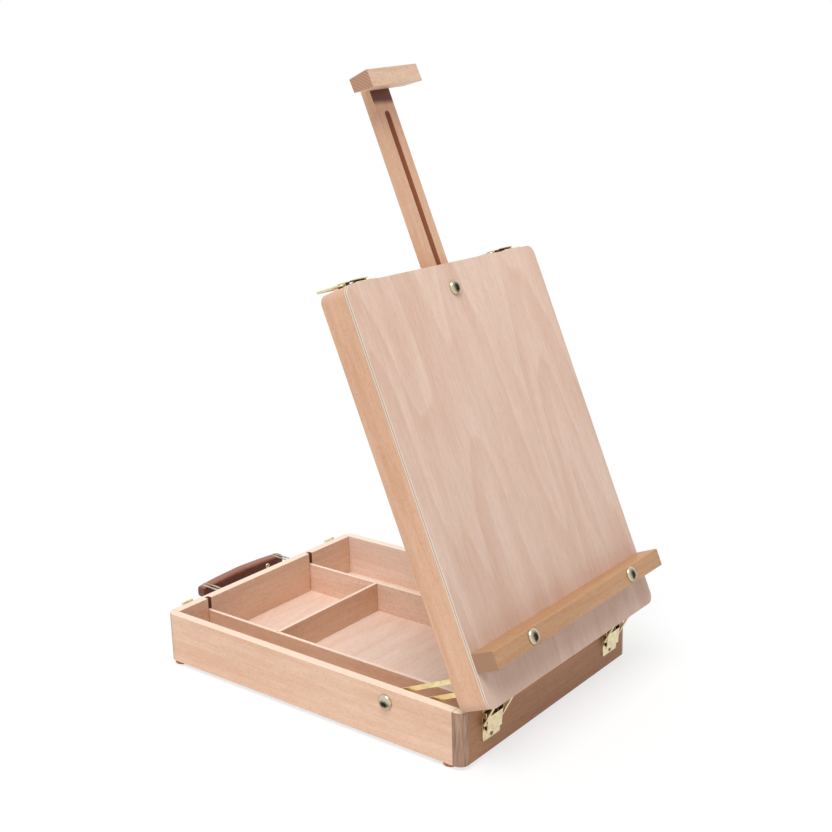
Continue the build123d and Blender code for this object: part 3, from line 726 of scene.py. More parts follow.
@dataclass(frozen=True)
class LeatherFinish:
    """Waxed saddle leather: pebbled grain, with painted light along its top."""

    name: str
    deep: str
    pale: str
    # Middle of the roughness, and how far the creases vary it
    roughness: float = 0.42
    crease_roughness: float = 0.2
    pebble_mm: float = 1.3
    pebble_relief: float = 0.6
    crease_mm: float = 7.0
    # How much the creases break up the painted light on the top, and where it starts and is full
    crease_amount: float = 0.9
    top_light_edges: Pair = (0.6, 1.7)
    relief: float = 0.4
    relief_mm: float = 0.3

    def build(self) -> Material:
        """Writes the leather material.

        Returns:
            The node material.
        """
        shader = Shader(bpy.data.materials.new(self.name))
        spot = shader.add("ShaderNodeTexCoord", {}, "Object")
        normal = shader.add("ShaderNodeTexCoord", {}, "Normal")
        pebbles = shader.add("ShaderNodeTexVoronoi", {
            "feature": "SMOOTH_F1", "Vector": spot, "Scale": 1 / (self.pebble_mm * MM), "Smoothness": 0.6,
        })
        creases = shader.add("ShaderNodeTexNoise", {
            "Vector": spot, "Scale": 1 / (self.crease_mm * MM), "Detail": 5.0,
        })
        # Painted light: faces that look up are made paler
        upward = shader.add("ShaderNodeVectorMath", {
            "operation": "DOT_PRODUCT", 0: normal, 1: AXIS_Z,
        }, "Value")
        broken = shader.add("ShaderNodeMath", {
            "operation": "MULTIPLY_ADD", 0: creases, 1: self.crease_amount, 2: upward,
        })
        low, high = self.top_light_edges
        top = shader.add("ShaderNodeMapRange", {"Value": broken, "From Min": low, "From Max": high})
        colour = shader.add("ShaderNodeMix", {
            "data_type": "RGBA", 0: top, 6: linear(self.deep), 7: linear(self.pale),
        }, 2)
        smoothest = self.roughness - self.crease_roughness / 2
        rough = shader.add("ShaderNodeMath", {
            "operation": "MULTIPLY_ADD", 0: creases, 1: self.crease_roughness, 2: smoothest,
        })
        relief = shader.add("ShaderNodeMath", {
            "operation": "MULTIPLY_ADD", 0: pebbles, 1: -self.pebble_relief, 2: creases,
        })
        bump = shader.add("ShaderNodeBump", {
            "Strength": self.relief, "Distance": self.relief_mm * MM, "Height": relief,
        })
        return shader.surface({"Base Color": colour, "Roughness": rough, "Normal": bump})


@dataclass(frozen=True)
class ThreadFinish:
    """Waxed linen thread, twisted."""

    name: str
    colour: str
    # Spacing of the twist along an axis, and how dark the painted shade is between two strands
    twist_mm: float = 0.8378
    shade: float = 0.6
    roughness: float = 0.7
    relief: float = 0.3
    relief_mm: float = 0.1

    def build(self) -> Material:
        """Writes the thread material.

        Returns:
            The node material.
        """
        shader = Shader(bpy.data.materials.new(self.name))
        spot = shader.add("ShaderNodeTexCoord", {}, "Object")
        # Diagonal bands of the wave texture repeat every tau / 10 of its own units along an axis
        twist = shader.add("ShaderNodeTexWave", {
            "bands_direction": "DIAGONAL", "Vector": spot, "Scale": math.tau / 10 / (self.twist_mm * MM),
        }, 1)
        light = linear(self.colour)
        deep = (*(self.shade * channel for channel in light[:3]), 1.0)
        colour = shader.add("ShaderNodeMix", {"data_type": "RGBA", 0: twist, 6: light, 7: deep}, 2)
        bump = shader.add("ShaderNodeBump", {
            "Strength": self.relief, "Distance": self.relief_mm * MM, "Height": twist,
        })
        return shader.surface({"Base Color": colour, "Roughness": self.roughness, "Normal": bump})


@dataclass
class Finishes:
    """All the materials, made once."""

    # Solid beech, planed, sanded and clear lacquered: a satin sheen over short brown ray flecks
    beech: WoodFinish = WoodFinish(
        name="lacquered_beech", pale="#e6c6ad", dark="#cf9f7e", fleck="#a9764f", end="#8c6b57",
        rim="#f2dfcb",
    )
    # The same board with the front board's streaked end grain at its corner
    beech_lapped: WoodFinish = replace(beech, name="lacquered_lapped_beech", end_strip=EndStrip(-165.0))
    # Lacquered beech without sanded edges: even tone, wide dark rings on its ends
    beech_plain: WoodFinish = WoodFinish(
        name="lacquered_plain_beech", pale="#e6c8b0", dark="#cfa284", fleck="#8f5c3c", end="#bd9478",
        pith_mm=(455.0, -25.0), ring_mm=2.4, ring_amount=0.75,
    )
    # Beech, clear lacquered: a paler and pinker copy of the box's beech as painted light on the box's inner
    # faces, with faint flecks
    beech_pale_lit: WoodFinish = WoodFinish(
        name="lacquered_pale_beech", pale="#f3dfd0", dark="#deb9a2", fleck="#b5835f", end="#b3917a",
        rim="#f2dfcb",
    )
    # Quarter-sawn beech, lacquered: its rays show as short dark flecks all over
    beech_flecked: WoodFinish = WoodFinish(
        name="flecked_beech", pale="#efd5c2", dark="#d9ae93", fleck="#9a6444", end="#b3917a",
        rim="#f2dfcb", flecks=Blots(2.4, 0.8, 0.6, 0.7, 1.0, 0.42),
    )
    # Lacquered beech of the lid's frame: a warm tone, its ends sanded smooth, so the rings barely show
    beech_lid: WoodFinish = WoodFinish(
        name="lacquered_lid_beech", pale="#dfb799", dark="#c6906d", fleck="#9c6842", end="#cfa88f",
        ring_amount=0.12,
    )
    # Lacquered beech strip: a warmer, yellower tone
    beech_warm: WoodFinish = WoodFinish(
        name="lacquered_warm_beech", pale="#deb796", dark="#c28d69", fleck="#9c6842", end="#a07a5e",
    )
    # Lacquered beech bar with a routed slot: warm, with brown slot walls of cutter scorch and painted shade,
    # and a painted shadow of the clamp block at its upper end
    beech_slotted: WoodFinish = WoodFinish(
        name="lacquered_slotted_beech", pale="#e0b99b", dark="#c6926f", fleck="#9c6842", end="#a07a5e",
        cuts=RoutedCuts(middles=(0.0,), half=3.4, depth=(12.3, 21.7), span=(179.0, 491.0)),
        painted_tip_shadow=PaintedTipShadow(reach=(494.5, 500.5)),
    )
    # Lacquered beech board with routed grooves: pale, with dark brown groove walls of cutter scorch and
    # painted shade
    beech_grooved: WoodFinish = WoodFinish(
        name="lacquered_grooved_beech", pale="#ecd0ba", dark="#d6aa8c", fleck="#a9764f", end="#8c6b57",
        rim="#f2dfcb",
        cuts=RoutedCuts(middles=(-84.0, 61.5), half=2.15, depth=(166.8, 171.5), brown="#6a3416"),
    )
    # Lacquered beech strip, browner and duller than the boards
    beech_brown: WoodFinish = WoodFinish(
        name="lacquered_brown_beech", pale="#c09770", dark="#a5724c", fleck="#8d5d3a", end="#a07a5e",
    )
    # Beech of the box's front, clear lacquered: dark, partly its own tone and partly painted shade under the
    # lid's overhang, with strong rings on its ends
    beech_dark_shaded: WoodFinish = WoodFinish(
        name="lacquered_heart_beech", pale="#ad7c53", dark="#8c5630", fleck="#643a20", end="#7a5a45",
        rim="#f2dfcb", ring_mm=2.6, ring_amount=1.0,
    )
    # Three-ply sheet with a rotary cut beech face, sealed: broad flames, faint flecks, pale cut edge, and
    # painted shade darker towards the bottom of the lid
    veneer: WoodFinish = WoodFinish(
        name="beech_faced_plywood", pale="#ebcfbe", dark="#cfa68e", fleck="#bd9073", end="#b29a86",
        figure_mm=(430.0, 72.0), figure_bands=5.0, figure_amount=0.24,
        flecks=Blots(4.5, 0.7, 0.56, 0.72, 1.0, 0.26),
        pores=replace(PORES, amount=0.22),
        streaks=replace(STREAKS, amount=0.14),
        mottle=replace(MOTTLE, amount=0.1),
        painted_shade=0.17, plies=Plies(faces=(27.0, 30.0), colour="#dfd2c2"),
    )
    # Sanded plywood floor panel: matt and pale, with wide soft bands
    floor_ply: WoodFinish = WoodFinish(
        name="sanded_plywood", pale="#eed8ca", dark="#d9b59f", fleck="#b08463", end="#a5805f",
        figure_mm=(420.0, 40.0), figure_amount=0.2, flecks=replace(RAY_FLECKS, amount=0.34),
    )
    # Turned beech, wiped with orange-brown stain: the grain shows through a strong tone
    stained: WoodFinish = WoodFinish(
        name="stained_beech", pale="#bd7f55", dark="#96572f", fleck="#6b3a1e", end="#a5683f",
    )
    # Pressed sheet, brass plated and brushed: pale yellow with a broken, streaky shine
    brass_sheet: MetalFinish = MetalFinish(
        name="brushed_brass_plate", bright="#eadcb6", dull="#cdb98b", roughness=0.3,
    )
    # Turned and polished brass: clear bright reflections
    brass_turned: MetalFinish = MetalFinish(
        name="polished_brass", bright="#e3d9b4", dull="#cdbf8b", roughness=0.14, brush_amount=0.06,
    )
    # Pressed domes, nickel plated and polished: a painted dark reflection at the crown, with a painted
    # highlight beside it, bright towards the edge
    nickel: MetalFinish = MetalFinish(
        name="polished_nickel", bright="#cfc5ac", dull="#2c2417", roughness=0.12, brush_amount=0.03,
        crown=PaintedCrownReflection(radius=3.7),
    )
    # Small brass screws, unpolished and tarnished: dull brown
    dark_brass: MetalFinish = MetalFinish(
        name="tarnished_brass", bright="#8a7040", dull="#4a3820", roughness=0.3,
    )
    # Painted shade on the lever's flanges and pin, which stand in the dark gap beside the lever: dark brown,
    # hardly shining
    oxidised_brass: MetalFinish = MetalFinish(
        name="oxidised_brass", bright="#5a3f26", dull="#2e1c10", roughness=0.42,
    )
    # Rolled brass strip, tumbled: pale yellow with a soft shine
    brass_strip: MetalFinish = MetalFinish(
        name="rolled_brass", bright="#f2e2ac", dull="#dcc68c", roughness=0.36,
    )
    # Drawn steel wire, zinc plated: grey with a faint yellow, slightly blurred shine
    steel_wire: MetalFinish = MetalFinish(
        name="plated_steel_wire", bright="#cbc5b2", dull="#8f8873", roughness=0.28,
    )
    # Vegetable-tanned leather, waxed: red-brown with a low sheen, and painted light along its top
    leather: LeatherFinish = LeatherFinish(name="waxed_leather", deep="#5c2f22", pale="#9a6049")
    # Waxed linen sewing thread: off-white and matt, with a fine diagonal twist
    thread: ThreadFinish = ThreadFinish(name="linen_thread", colour="#c9b79a")
    made: dict[str, Material] = field(default_factory=dict)

    def wood(self, finish: WoodFinish, grain: Grain) -> Material:
        """Material of a wood finish for one cut, made on first use.

        Args:
            finish: The wood.
            grain: The cut.

        Returns:
            The material.
        """
        key = f"{finish.name}_{grain.name}"
        if key not in self.made:
            self.made[key] = WoodPainter(finish, grain).paint()
        return self.made[key]

    def plain(self, finish: MetalFinish | LeatherFinish | ThreadFinish) -> Material:
        """Material of a finish that has no cut, made on first use.

        Args:
            finish: The metal, leather or thread.

        Returns:
            The material.
        """
        if finish.name not in self.made:
            self.made[finish.name] = finish.build()
        return self.made[finish.name]


@dataclass(frozen=True)
class Place:
    """A spot on a face: where it is, and the ways across, along and out of it."""

    origin: Vector
    across: Vector
    along: Vector

    @property
    def out(self) -> Vector:
        """The way out of the face."""
        return self.across.cross(self.along)

    def at(self, u: float, v: float, w: float) -> Matrix:
        """Transform of a piece that stands on the face.

        Args:
            u: Millimetres across.
            v: Millimetres along.
            w: Millimetres out.

        Returns:
            The piece's matrix, its Z pointing out of the face.
        """
        spot = self.origin + (self.across * u + self.along * v + self.out * w) * MM
        turn = Matrix((self.across, self.along, self.out)).transposed()
        return Matrix.Translation(spot) @ turn.to_4x4()


def lid_point(x: float, s: float, t: float) -> Vector:
    """Point of the open lid.

    Args:
        x: Millimetres to the right.
        s: Millimetres up the lid from the hinge line.
        t: Millimetres out from the rim.

    Returns:
        The point in the row frame, in metres.
    """
    return HINGE_LINE + (AXIS_X * x + LID_UP * s + LID_OUT * t) * MM


def middle_x(node: str) -> float:
    """Middle of a CAD node along X, in millimetres."""
    low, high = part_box(node)
    return (low.x + high.x) / 2 / MM


def body_of(node: str) -> str:
    """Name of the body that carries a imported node."""
    bodies = frame["record"]["behaviour"]["bodies"]
    return next(body for body, members in bodies.items() if node in members)


def latch_place(row: Row, side: Side) -> Place:
    """Where a latch stands.

    Args:
        row: The latch's row.
        side: The latch's side.

    Returns:
        The place of the middle of its tail.
    """
    x = middle_x(f"latch_base_{row.value}_{side.value}")
    if row is Row.FRONT:
        return Place(Vector((x, BOX_FRONT, FRONT_LATCH_Z)) * MM, AXIS_X, AXIS_Z)
    return Place(lid_point(x, *BACK_LATCH), AXIS_X, -LID_OUT)


def in_scene(name: str, data: bpy.types.ID) -> bpy.types.Object:
    """Makes an object of some data and links it to the scene.

    Args:
        name: Name of the object.
        data: Its mesh, lamp or camera.

    Returns:
        The new object.
    """
    thing = bpy.data.objects.new(name, data)
    bpy.context.scene.collection.objects.link(thing)
    return thing


def add_piece(name: str, mesh: bpy.types.Mesh, body: str, place: Matrix) -> bpy.types.Object:
    """Puts a finished mesh in the scene and hangs it on its body.

    Args:
        name: Name of the piece.
        mesh: Its mesh, with its material.
        body: The body that it rides on.
        place: Where it goes, in the row frame.

    Returns:
        The new object.
    """
    piece = in_scene(name, mesh)
    piece.matrix_world = place
    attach(piece, body)
    LOG.info("added %s on %s", name, body)
    return piece


def finished_mesh(
    name: str,
    shape: bmesh.types.BMesh,
    materials: Iterable[Material] = (),
    smooth: bool = False,
) -> bpy.types.Mesh:
    """Turns a shape into a mesh and frees the shape.

    Args:
        name: Name of the mesh.
        shape: The shape.
        materials: Materials of the mesh.
        smooth: Whether its faces are shaded smooth.

    Returns:
        The mesh.
    """
    mesh = bpy.data.meshes.new(name)
    shape.to_mesh(mesh)
    shape.free()
    for material in materials:
        mesh.materials.append(material)
    if smooth:
        mesh.shade_smooth()
    return mesh


def rounded_edges(
    piece: bpy.types.Object,
    width_mm: float,
    steps: int,
    sharp_deg: float = 30.0,
) -> bpy.types.BevelModifier:
    """Rounds a piece's sharp edges without touching its mesh.

    Args:
        piece: The piece.
        width_mm: Width of the rounding.
        steps: Facets over the rounding.
        sharp_deg: Angle from which an edge counts as sharp.

    Returns:
        The modifier.
    """
    bevel = piece.modifiers.new("soft_edges", "BEVEL")
    bevel.width = width_mm * MM
    bevel.segments = steps
    bevel.limit_method = "ANGLE"
    bevel.angle_limit = math.radians(sharp_deg)
    return bevel


def turned(name: str, outline: Sequence[Pair], material: Material, sides: int) -> bpy.types.Mesh:
    """Turns an outline round Z, as on a lathe.

    Args:
        name: Name of the mesh.
        outline: Radius and height pairs in millimetres, the last on the axis.
        material: Material of the mesh.
        sides: Steps round the axis.

    Returns:
        The smooth mesh.
    """
    shape = bmesh.new()
    turns = [2 * math.pi * k / sides for k in range(sides)]
    loops = []
    for radius, height in outline:
        around = turns if radius else turns[:1]
        points = [Vector((radius * math.cos(a), radius * math.sin(a), height)) * MM for a in around]
        loops.append([shape.verts.new(point) for point in points])
    for low, high in zip(loops, loops[1:]):
        for k in range(sides):
            after = (k + 1) % sides
            top = (high[after], high[k]) if len(high) > 1 else (high[0],)
            shape.faces.new((low[k], low[after], *top))
    shape.faces.new(list(reversed(loops[0])))
    return finished_mesh(name, shape, [material], smooth=True)


def domed_outline(radius: float, height: float, rim: float, steps: int) -> list[Pair]:
    """Half outline of a domed head with a short upright rim.

    Args:
        radius: Radius in millimetres.
        height: Height in millimetres, rim included.
        rim: Height of the upright rim.
        steps: Steps over the dome.

    Returns:
        Radius and height pairs from the rim to the top.
    """
    points = [(radius, 0.0)]
    for k in range(steps + 1):
        angle = math.pi / 2 * k / steps
        reach = radius * math.cos(angle) if k < steps else 0.0
        points.append((reach, rim + (height - rim) * math.sin(angle)))
    return points


def solid_mesh(
    name: str,
    parts: Iterable[tuple[Sequence[Vector], Vector, int]],
    materials: Sequence[Material],
) -> bpy.types.Mesh:
    """Makes one mesh of flat outlines pushed out into plates.

    Args:
        name: Name of the mesh.
        parts: Outline and push of each plate in millimetres, and the number of its material.
        materials: Materials of the mesh.

    Returns:
        The mesh.
    """
    shape = bmesh.new()
    for outline, push, number in parts:
        first = len(shape.faces)
        base = [shape.verts.new(point * MM) for point in outline]
        top = [shape.verts.new((point + push) * MM) for point in outline]
        count = len(base)
        shape.faces.new(list(reversed(base)))
        shape.faces.new(top)
        for k in range(count):
            after = (k + 1) % count
            shape.faces.new((base[k], base[after], top[after], top[k]))
        shape.faces.ensure_lookup_table()
        for face in shape.faces[first:]:
            face.material_index = number
    bmesh.ops.recalc_face_normals(shape, faces=shape.faces)
    return finished_mesh(name, shape, materials)


def wire_mesh(
    name: str,
    points: Sequence[Vector],
    radius: float,
    bend: float,
    material: Material,
) -> bpy.types.Mesh:
    """Makes a round wire along straight runs joined by arcs.

    Args:
        name: Name of the mesh.
        points: Corners of the route in millimetres.
        radius: Radius of the wire.
        bend: How far from a corner its arc starts.
        material: Material of the mesh.

    Returns:
        The smooth mesh.
    """
    steps = 8
    route = [points[0]]
    for before, corner, after in zip(points, points[1:], points[2:]):
        start = corner + (before - corner).normalized() * bend
        end = corner + (after - corner).normalized() * bend
        for t in (step / steps for step in range(steps + 1)):
            route.append(start * (1 - t) ** 2 + corner * 2 * t * (1 - t) + end * t ** 2)
    route.append(points[-1])
    curve = bpy.data.curves.new(name, "CURVE")
    curve.dimensions = "3D"
    curve.bevel_depth = radius * MM
    curve.bevel_resolution = 5
    curve.use_fill_caps = True
    spline = curve.splines.new("POLY")
    spline.points.add(len(route) - 1)
    for place, point in zip(spline.points, route):
        place.co = (*(point * MM), 1.0)
    thing = bpy.data.objects.new(name, curve)
    mesh = bpy.data.meshes.new_from_object(thing)
    bpy.data.objects.remove(thing)
    bpy.data.curves.remove(curve)
    mesh.shade_smooth()
    mesh.materials.clear()
    mesh.materials.append(material)
    return mesh


@dataclass
class CadDresser:
    """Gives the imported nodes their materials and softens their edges."""

    finishes: Finishes
    # Width of the rounded edges in millimetres, and the facets over them
    wood_edge: tuple[float, int] = (0.45, 3)
    metal_edge: tuple[float, int] = (0.12, 2)
    weld_mm: float = 0.01
    sharp_deg: float = 35.0

    def dress(self) -> None:
        """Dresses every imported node."""
        for name, node in frame["nodes"].items():
            board = self._board(name)
            material = self.finishes.wood(*board) if board else self._fitting(name)
            node.data.materials.clear()
            node.data.materials.append(material)
            self._soften(node, *(self.wood_edge if board else self.metal_edge))
            LOG.info("dressed %s in %s", name, material.name)

    def _board(self, name: str) -> tuple[WoodFinish, Grain] | None:
        """Finish and cut of a wooden node.

        Args:
            name: Name of the node.

        Returns:
            The pair, or None for a node that isn't wood.
        """
        if "bolt" in name or "nut" in name:
            return None
        f = self.finishes
        boards = {
            "box_side_left": (f.beech_lapped, Grain.BOX_SIDE),
            "box_side_right": (f.beech_pale_lit, Grain.BOX_SIDE),
            "box_front": (f.beech_dark_shaded, Grain.BOX_CROSS),
            "box_back": (f.beech_grooved, Grain.BOX_CROSS),
            "box_floor": (f.floor_ply, Grain.BOX_FLAT),
            "divider_long_left": (f.beech, Grain.BOX_SIDE),
            "divider_long_right": (f.beech_flecked, Grain.BOX_SIDE),
            "divider_cross": (f.beech, Grain.BOX_CROSS),
            "foot": (f.stained, Grain.UPRIGHT),
            "lid_side": (f.beech_lid, Grain.LID_SIDE),
            "lid_bottom_rail": (f.beech_lid, Grain.LID_CROSS),
            "lid_top_rail": (f.beech_lid, Grain.LID_CROSS),
            "lid_panel": (f.veneer, Grain.LID_FACE),
            "ledge": (f.beech_brown, Grain.LID_STRIP),
            "mast_bar": (f.beech_slotted, Grain.LID_FACE),
            "mast_block": (f.beech_plain, Grain.LID_STRIP),
            "mast_pad": (f.beech_warm, Grain.LID_STRIP),
        }
        return next((board for start, board in boards.items() if name.startswith(start)), None)

    def _fitting(self, name: str) -> Material:
        """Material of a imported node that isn't wood.

        Args:
            name: Name of the node.

        Returns:
            The material.
        """
        f = self.finishes
        if name in ("stay_left", "stay_right"):
            return f.plain(f.brass_strip)
        if name.startswith("handle_ring"):
            return f.plain(f.steel_wire)
        if name == "handle_grip":
            return f.plain(f.leather)
        if name.startswith("bail") or any(word in name for word in ("bolt", "nut", "screw")):
            return f.plain(f.brass_turned)
        return f.plain(f.brass_sheet)

    def _soften(self, node: bpy.types.Object, width_mm: float, steps: int) -> None:
        """Rounds the sharp edges of a node without touching its mesh.

        Args:
            node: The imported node.
            width_mm: Width of the rounding.
            steps: Facets over the rounding.
        """
        weld = node.modifiers.new("weld", "WELD")
        weld.merge_threshold = self.weld_mm * MM
        bevel = rounded_edges(node, width_mm, steps, self.sharp_deg)
        bevel.harden_normals = True


@dataclass(frozen=True)
class Screw:
    """A cross-slot screw head in millimetres, and how its slot is turned, in degrees."""

    radius: float
    height: float
    # Turn of the first screw of a row, and how much further each next one is turned
    turn: float
    next_turn: float


@dataclass
class ScrewSet:
    """Small cross-slot screws on the latches, keepers, brackets, hinges and clamp block."""

    finishes: Finishes
    # Steps over the dome of a head and round it, and the angle from which an edge stays sharp
    dome_steps: int = 6
    sides: int = 32
    sharp_deg: float = 40.0
    # Rim of a head as a share of its height, and the slot's arm as shares of the head's radius
    rim: float = 0.2
    slot_length: float = 1.1
    slot_width: float = 0.26
    # Middle of the cutter above the head's foot, as a share of the head's height
    slot_middle: float = 1.05
    meshes: dict[Pair, bpy.types.Mesh] = field(default_factory=dict)
    count: int = 0

    def drive(self, body: str, place: Matrix, screw: Screw, number: int) -> None:
        """Puts one screw head in place.

        Args:
            body: The body that it rides on.
            place: Where the head stands.
            screw: The screw.
            number: Its number in its row, from nought.
        """
        size = (screw.radius, screw.height)
        if size not in self.meshes:
            self.meshes[size] = self._head(*size)
        self.count += 1
        turn = math.radians(screw.turn + screw.next_turn * number)
        spun = place @ Matrix.Rotation(turn, 4, "Z")
        add_piece(f"screw_head_{self.count:02d}", self.meshes[size], body, spun)

    def _head(self, radius: float, height: float) -> bpy.types.Mesh:
        """Turns a head and cuts a cross slot into its top.

        Args:
            radius: Radius in millimetres.
            height: Height in millimetres.

        Returns:
            The mesh, shared by every screw of that size.
        """
        material = self.finishes.plain(self.finishes.dark_brass)
        outline = domed_outline(radius, height, height * self.rim, self.dome_steps)
        body = in_scene("screw_blank", turned("screw_head", outline, material, self.sides))
        cutter = in_scene("cross_slot", self._cross(radius, height))
        cut = body.modifiers.new("slot", "BOOLEAN")
        cut.operation = "DIFFERENCE"
        cut.solver = "EXACT"
        cut.use_self = True
        cut.object = cutter
        depsgraph = bpy.context.evaluated_depsgraph_get()
        mesh = bpy.data.meshes.new_from_object(body.evaluated_get(depsgraph))
        bpy.data.objects.remove(body)
        bpy.data.objects.remove(cutter)
        mesh.set_sharp_from_angle(angle=math.radians(self.sharp_deg))
        return mesh

    def _cross(self, radius: float, height: float) -> bpy.types.Mesh:
        """Two crossed bars that cut the slot.

        Args:
            radius: Radius of the head in millimetres.
            height: Height of the head in millimetres.

        Returns:
            The mesh of the bars.
        """
        cross = bmesh.new()
        length, width = radius * self.slot_length * MM, radius * self.slot_width * MM
        middle = Matrix.Translation((0, 0, height * MM * self.slot_middle))
        for x, y in ((length, width), (width, length)):
            bmesh.ops.create_cube(cross, size=1.0, matrix=middle @ Matrix.Diagonal((x, y, height * MM, 1)))
        return finished_mesh("cross_slot", cross)


@dataclass
class Fittings:
    """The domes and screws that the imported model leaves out. Sizes are millimetres."""

    finishes: Finishes
    screws: ScrewSet
    # Radius, height and upright rim of a dome, and the steps over it and round it
    dome: Triple = (6.8, 3.9, 0.4)
    dome_steps: tuple[int, int] = (16, 64)
    # X, distance up the lid and distance out from its rim, where the lid's domes stand
    ledge_dome: Triple = (79.0, 40.0, 52.0)
    mast_dome: Triple = (0.0, 328.0, 30.0)
    # X, Y and Z, where the stays' domes stand
    stay_dome: Triple = (132.0, -96.0, 40.0)
    # Places across and along a latch plate, and the screws there: two in its ears, one in its tail
    latch_screws: tuple[tuple[float, float, Screw], ...] = (
        (-9.0, 26.5, Screw(1.7, 0.6, 25, 40)),
        (9.0, 26.5, Screw(1.7, 0.6, 25, 40)),
        (0.0, 3.0, Screw(1.9, 0.6, 25, 40)),
    )
    keeper_front_screw: Screw = Screw(1.5, 0.5, 15, 50)
    keeper_back_screw: Screw = Screw(1.5, 0.5, 70, -30)
    bracket_screw: Screw = Screw(1.5, 0.6, 35, 60)
    block_screw: Screw = Screw(3.4, 1.6, 20, 50)
    hinge_box_screw: Screw = Screw(1.5, 0.08, 10, 55)
    hinge_lid_screw: Screw = Screw(1.5, 0.08, 40, -35)
    # Half the gap between the two screws of a row
    keeper_gap: float = 4.6
    bracket_gap: float = 5.0
    block_gap: float = 7.0
    hinge_gap: float = 12.0
    # How thick the plates under the screws are
    sheet: float = 0.9
    bracket_plate: float = 1.2
    # Where the keepers' plates start, out from the lid's rim and below the box's
    keeper_front_foot: float = 1.5
    keeper_back_top: float = 0.5
    # How far along their keepers the screws are, and how far from the hinge pin
    keeper_front_reach: float = 8.6
    keeper_back_reach: float = 3.2
    hinge_reach: float = 4.8
    # How far a hinge leaf's face lies under the wood's, and the brackets' middle under the rim
    leaf_sunk: float = 0.1
    bracket_drop: float = 8.0
    # How far up the lid the clamp block's screws are, and how far out the mast bar's back is
    block_screws_at: Pair = (512.5, 12.0)

    def build(self) -> None:
        """Adds the domes and drives the screws."""
        self._domes()
        self._latch_screws()
        self._keeper_screws()
        self._bracket_screws()
        self._block_screws()
        self._hinge_screws()

    def _domes(self) -> None:
        """Polished domes over the heads of the five clamp bolts."""
        material = self.finishes.plain(self.finishes.nickel)
        over, around = self.dome_steps
        mesh = turned("dome_head", domed_outline(*self.dome, over), material, around)
        lid = Place(lid_point(0, 0, 0), AXIS_X, LID_UP)
        x, up, out = self.ledge_dome
        add_piece("dome_ledge_left", mesh, "lid", lid.at(-x, up, out))
        add_piece("dome_ledge_right", mesh, "lid", lid.at(x, up, out))
        add_piece("dome_mast", mesh, "lid", lid.at(*self.mast_dome))
        x, y, z = self.stay_dome
        left = Place(Vector((-x, y, z)) * MM, AXIS_Z, AXIS_Y)
        right = Place(Vector((x, y, z)) * MM, AXIS_Y, AXIS_Z)
        add_piece("dome_stay_left", mesh, "box", left.at(0, 0, 0))
        add_piece("dome_stay_right", mesh, "box", right.at(0, 0, 0))

    def _latch_screws(self) -> None:
        """Two ear screws and one tail screw on each latch plate."""
        for row, side in ((r, s) for r in Row for s in Side):
            plate = latch_place(row, side)
            body = body_of(f"latch_base_{row.value}_{side.value}")
            for number, (u, v, screw) in enumerate(self.latch_screws):
                self.screws.drive(body, plate.at(u, v, self.sheet), screw, number)

    def _keeper_screws(self) -> None:
        """Two screws on each keeper."""
        for side in Side:
            x = middle_x(f"keeper_front_{side.value}")
            front = Place(lid_point(x, 0, self.keeper_front_foot), AXIS_X, LID_OUT)
            x = middle_x(f"keeper_back_{side.value}")
            back = Place(Vector((x, BOX_BACK, BOX_RIM - self.keeper_back_top)) * MM, AXIS_X, -AXIS_Z)
            for number, u in enumerate((-self.keeper_gap, self.keeper_gap)):
                place = front.at(u, self.keeper_front_reach, self.sheet)
                self.screws.drive("lid", place, self.keeper_front_screw, number)
                place = back.at(u, self.keeper_back_reach, self.sheet)
                self.screws.drive("box", place, self.keeper_back_screw, number)

    def _bracket_screws(self) -> None:
        """Two screws on each handle bracket."""
        for side in Side:
            x = middle_x(f"handle_bracket_{side.value}")
            plate = Place(Vector((x, BOX_BACK, BOX_RIM - self.bracket_drop)) * MM, AXIS_X, -AXIS_Z)
            for number, v in enumerate((-self.bracket_gap, self.bracket_gap)):
                place = plate.at(0, v, self.bracket_plate)
                self.screws.drive("box", place, self.bracket_screw, number)

    def _block_screws(self) -> None:
        """Two screws through the mast bar into the clamp block, seen from behind."""
        up, out = self.block_screws_at
        behind = Place(lid_point(0, 0, out), -AXIS_X, LID_UP)
        for number, u in enumerate((-self.block_gap, self.block_gap)):
            self.screws.drive("mast", behind.at(u, up, 0), self.block_screw, number)

    def _hinge_screws(self) -> None:
        """Countersunk screws in the hinge leaves."""
        for side in Side:
            x = middle_x(f"hinge_leaf_box_{side.value}")
            lower = Place(Vector((x, BOX_FRONT, BOX_RIM - self.leaf_sunk)) * MM, AXIS_X, AXIS_Y)
            upper = Place(lid_point(x, 0, self.leaf_sunk), -AXIS_X, LID_UP)
            for number, u in enumerate((-self.hinge_gap, self.hinge_gap)):
                self.screws.drive("box", lower.at(u, self.hinge_reach, 0), self.hinge_box_screw, number)
                self.screws.drive("lid", upper.at(u, self.hinge_reach, 0), self.hinge_lid_screw, number)


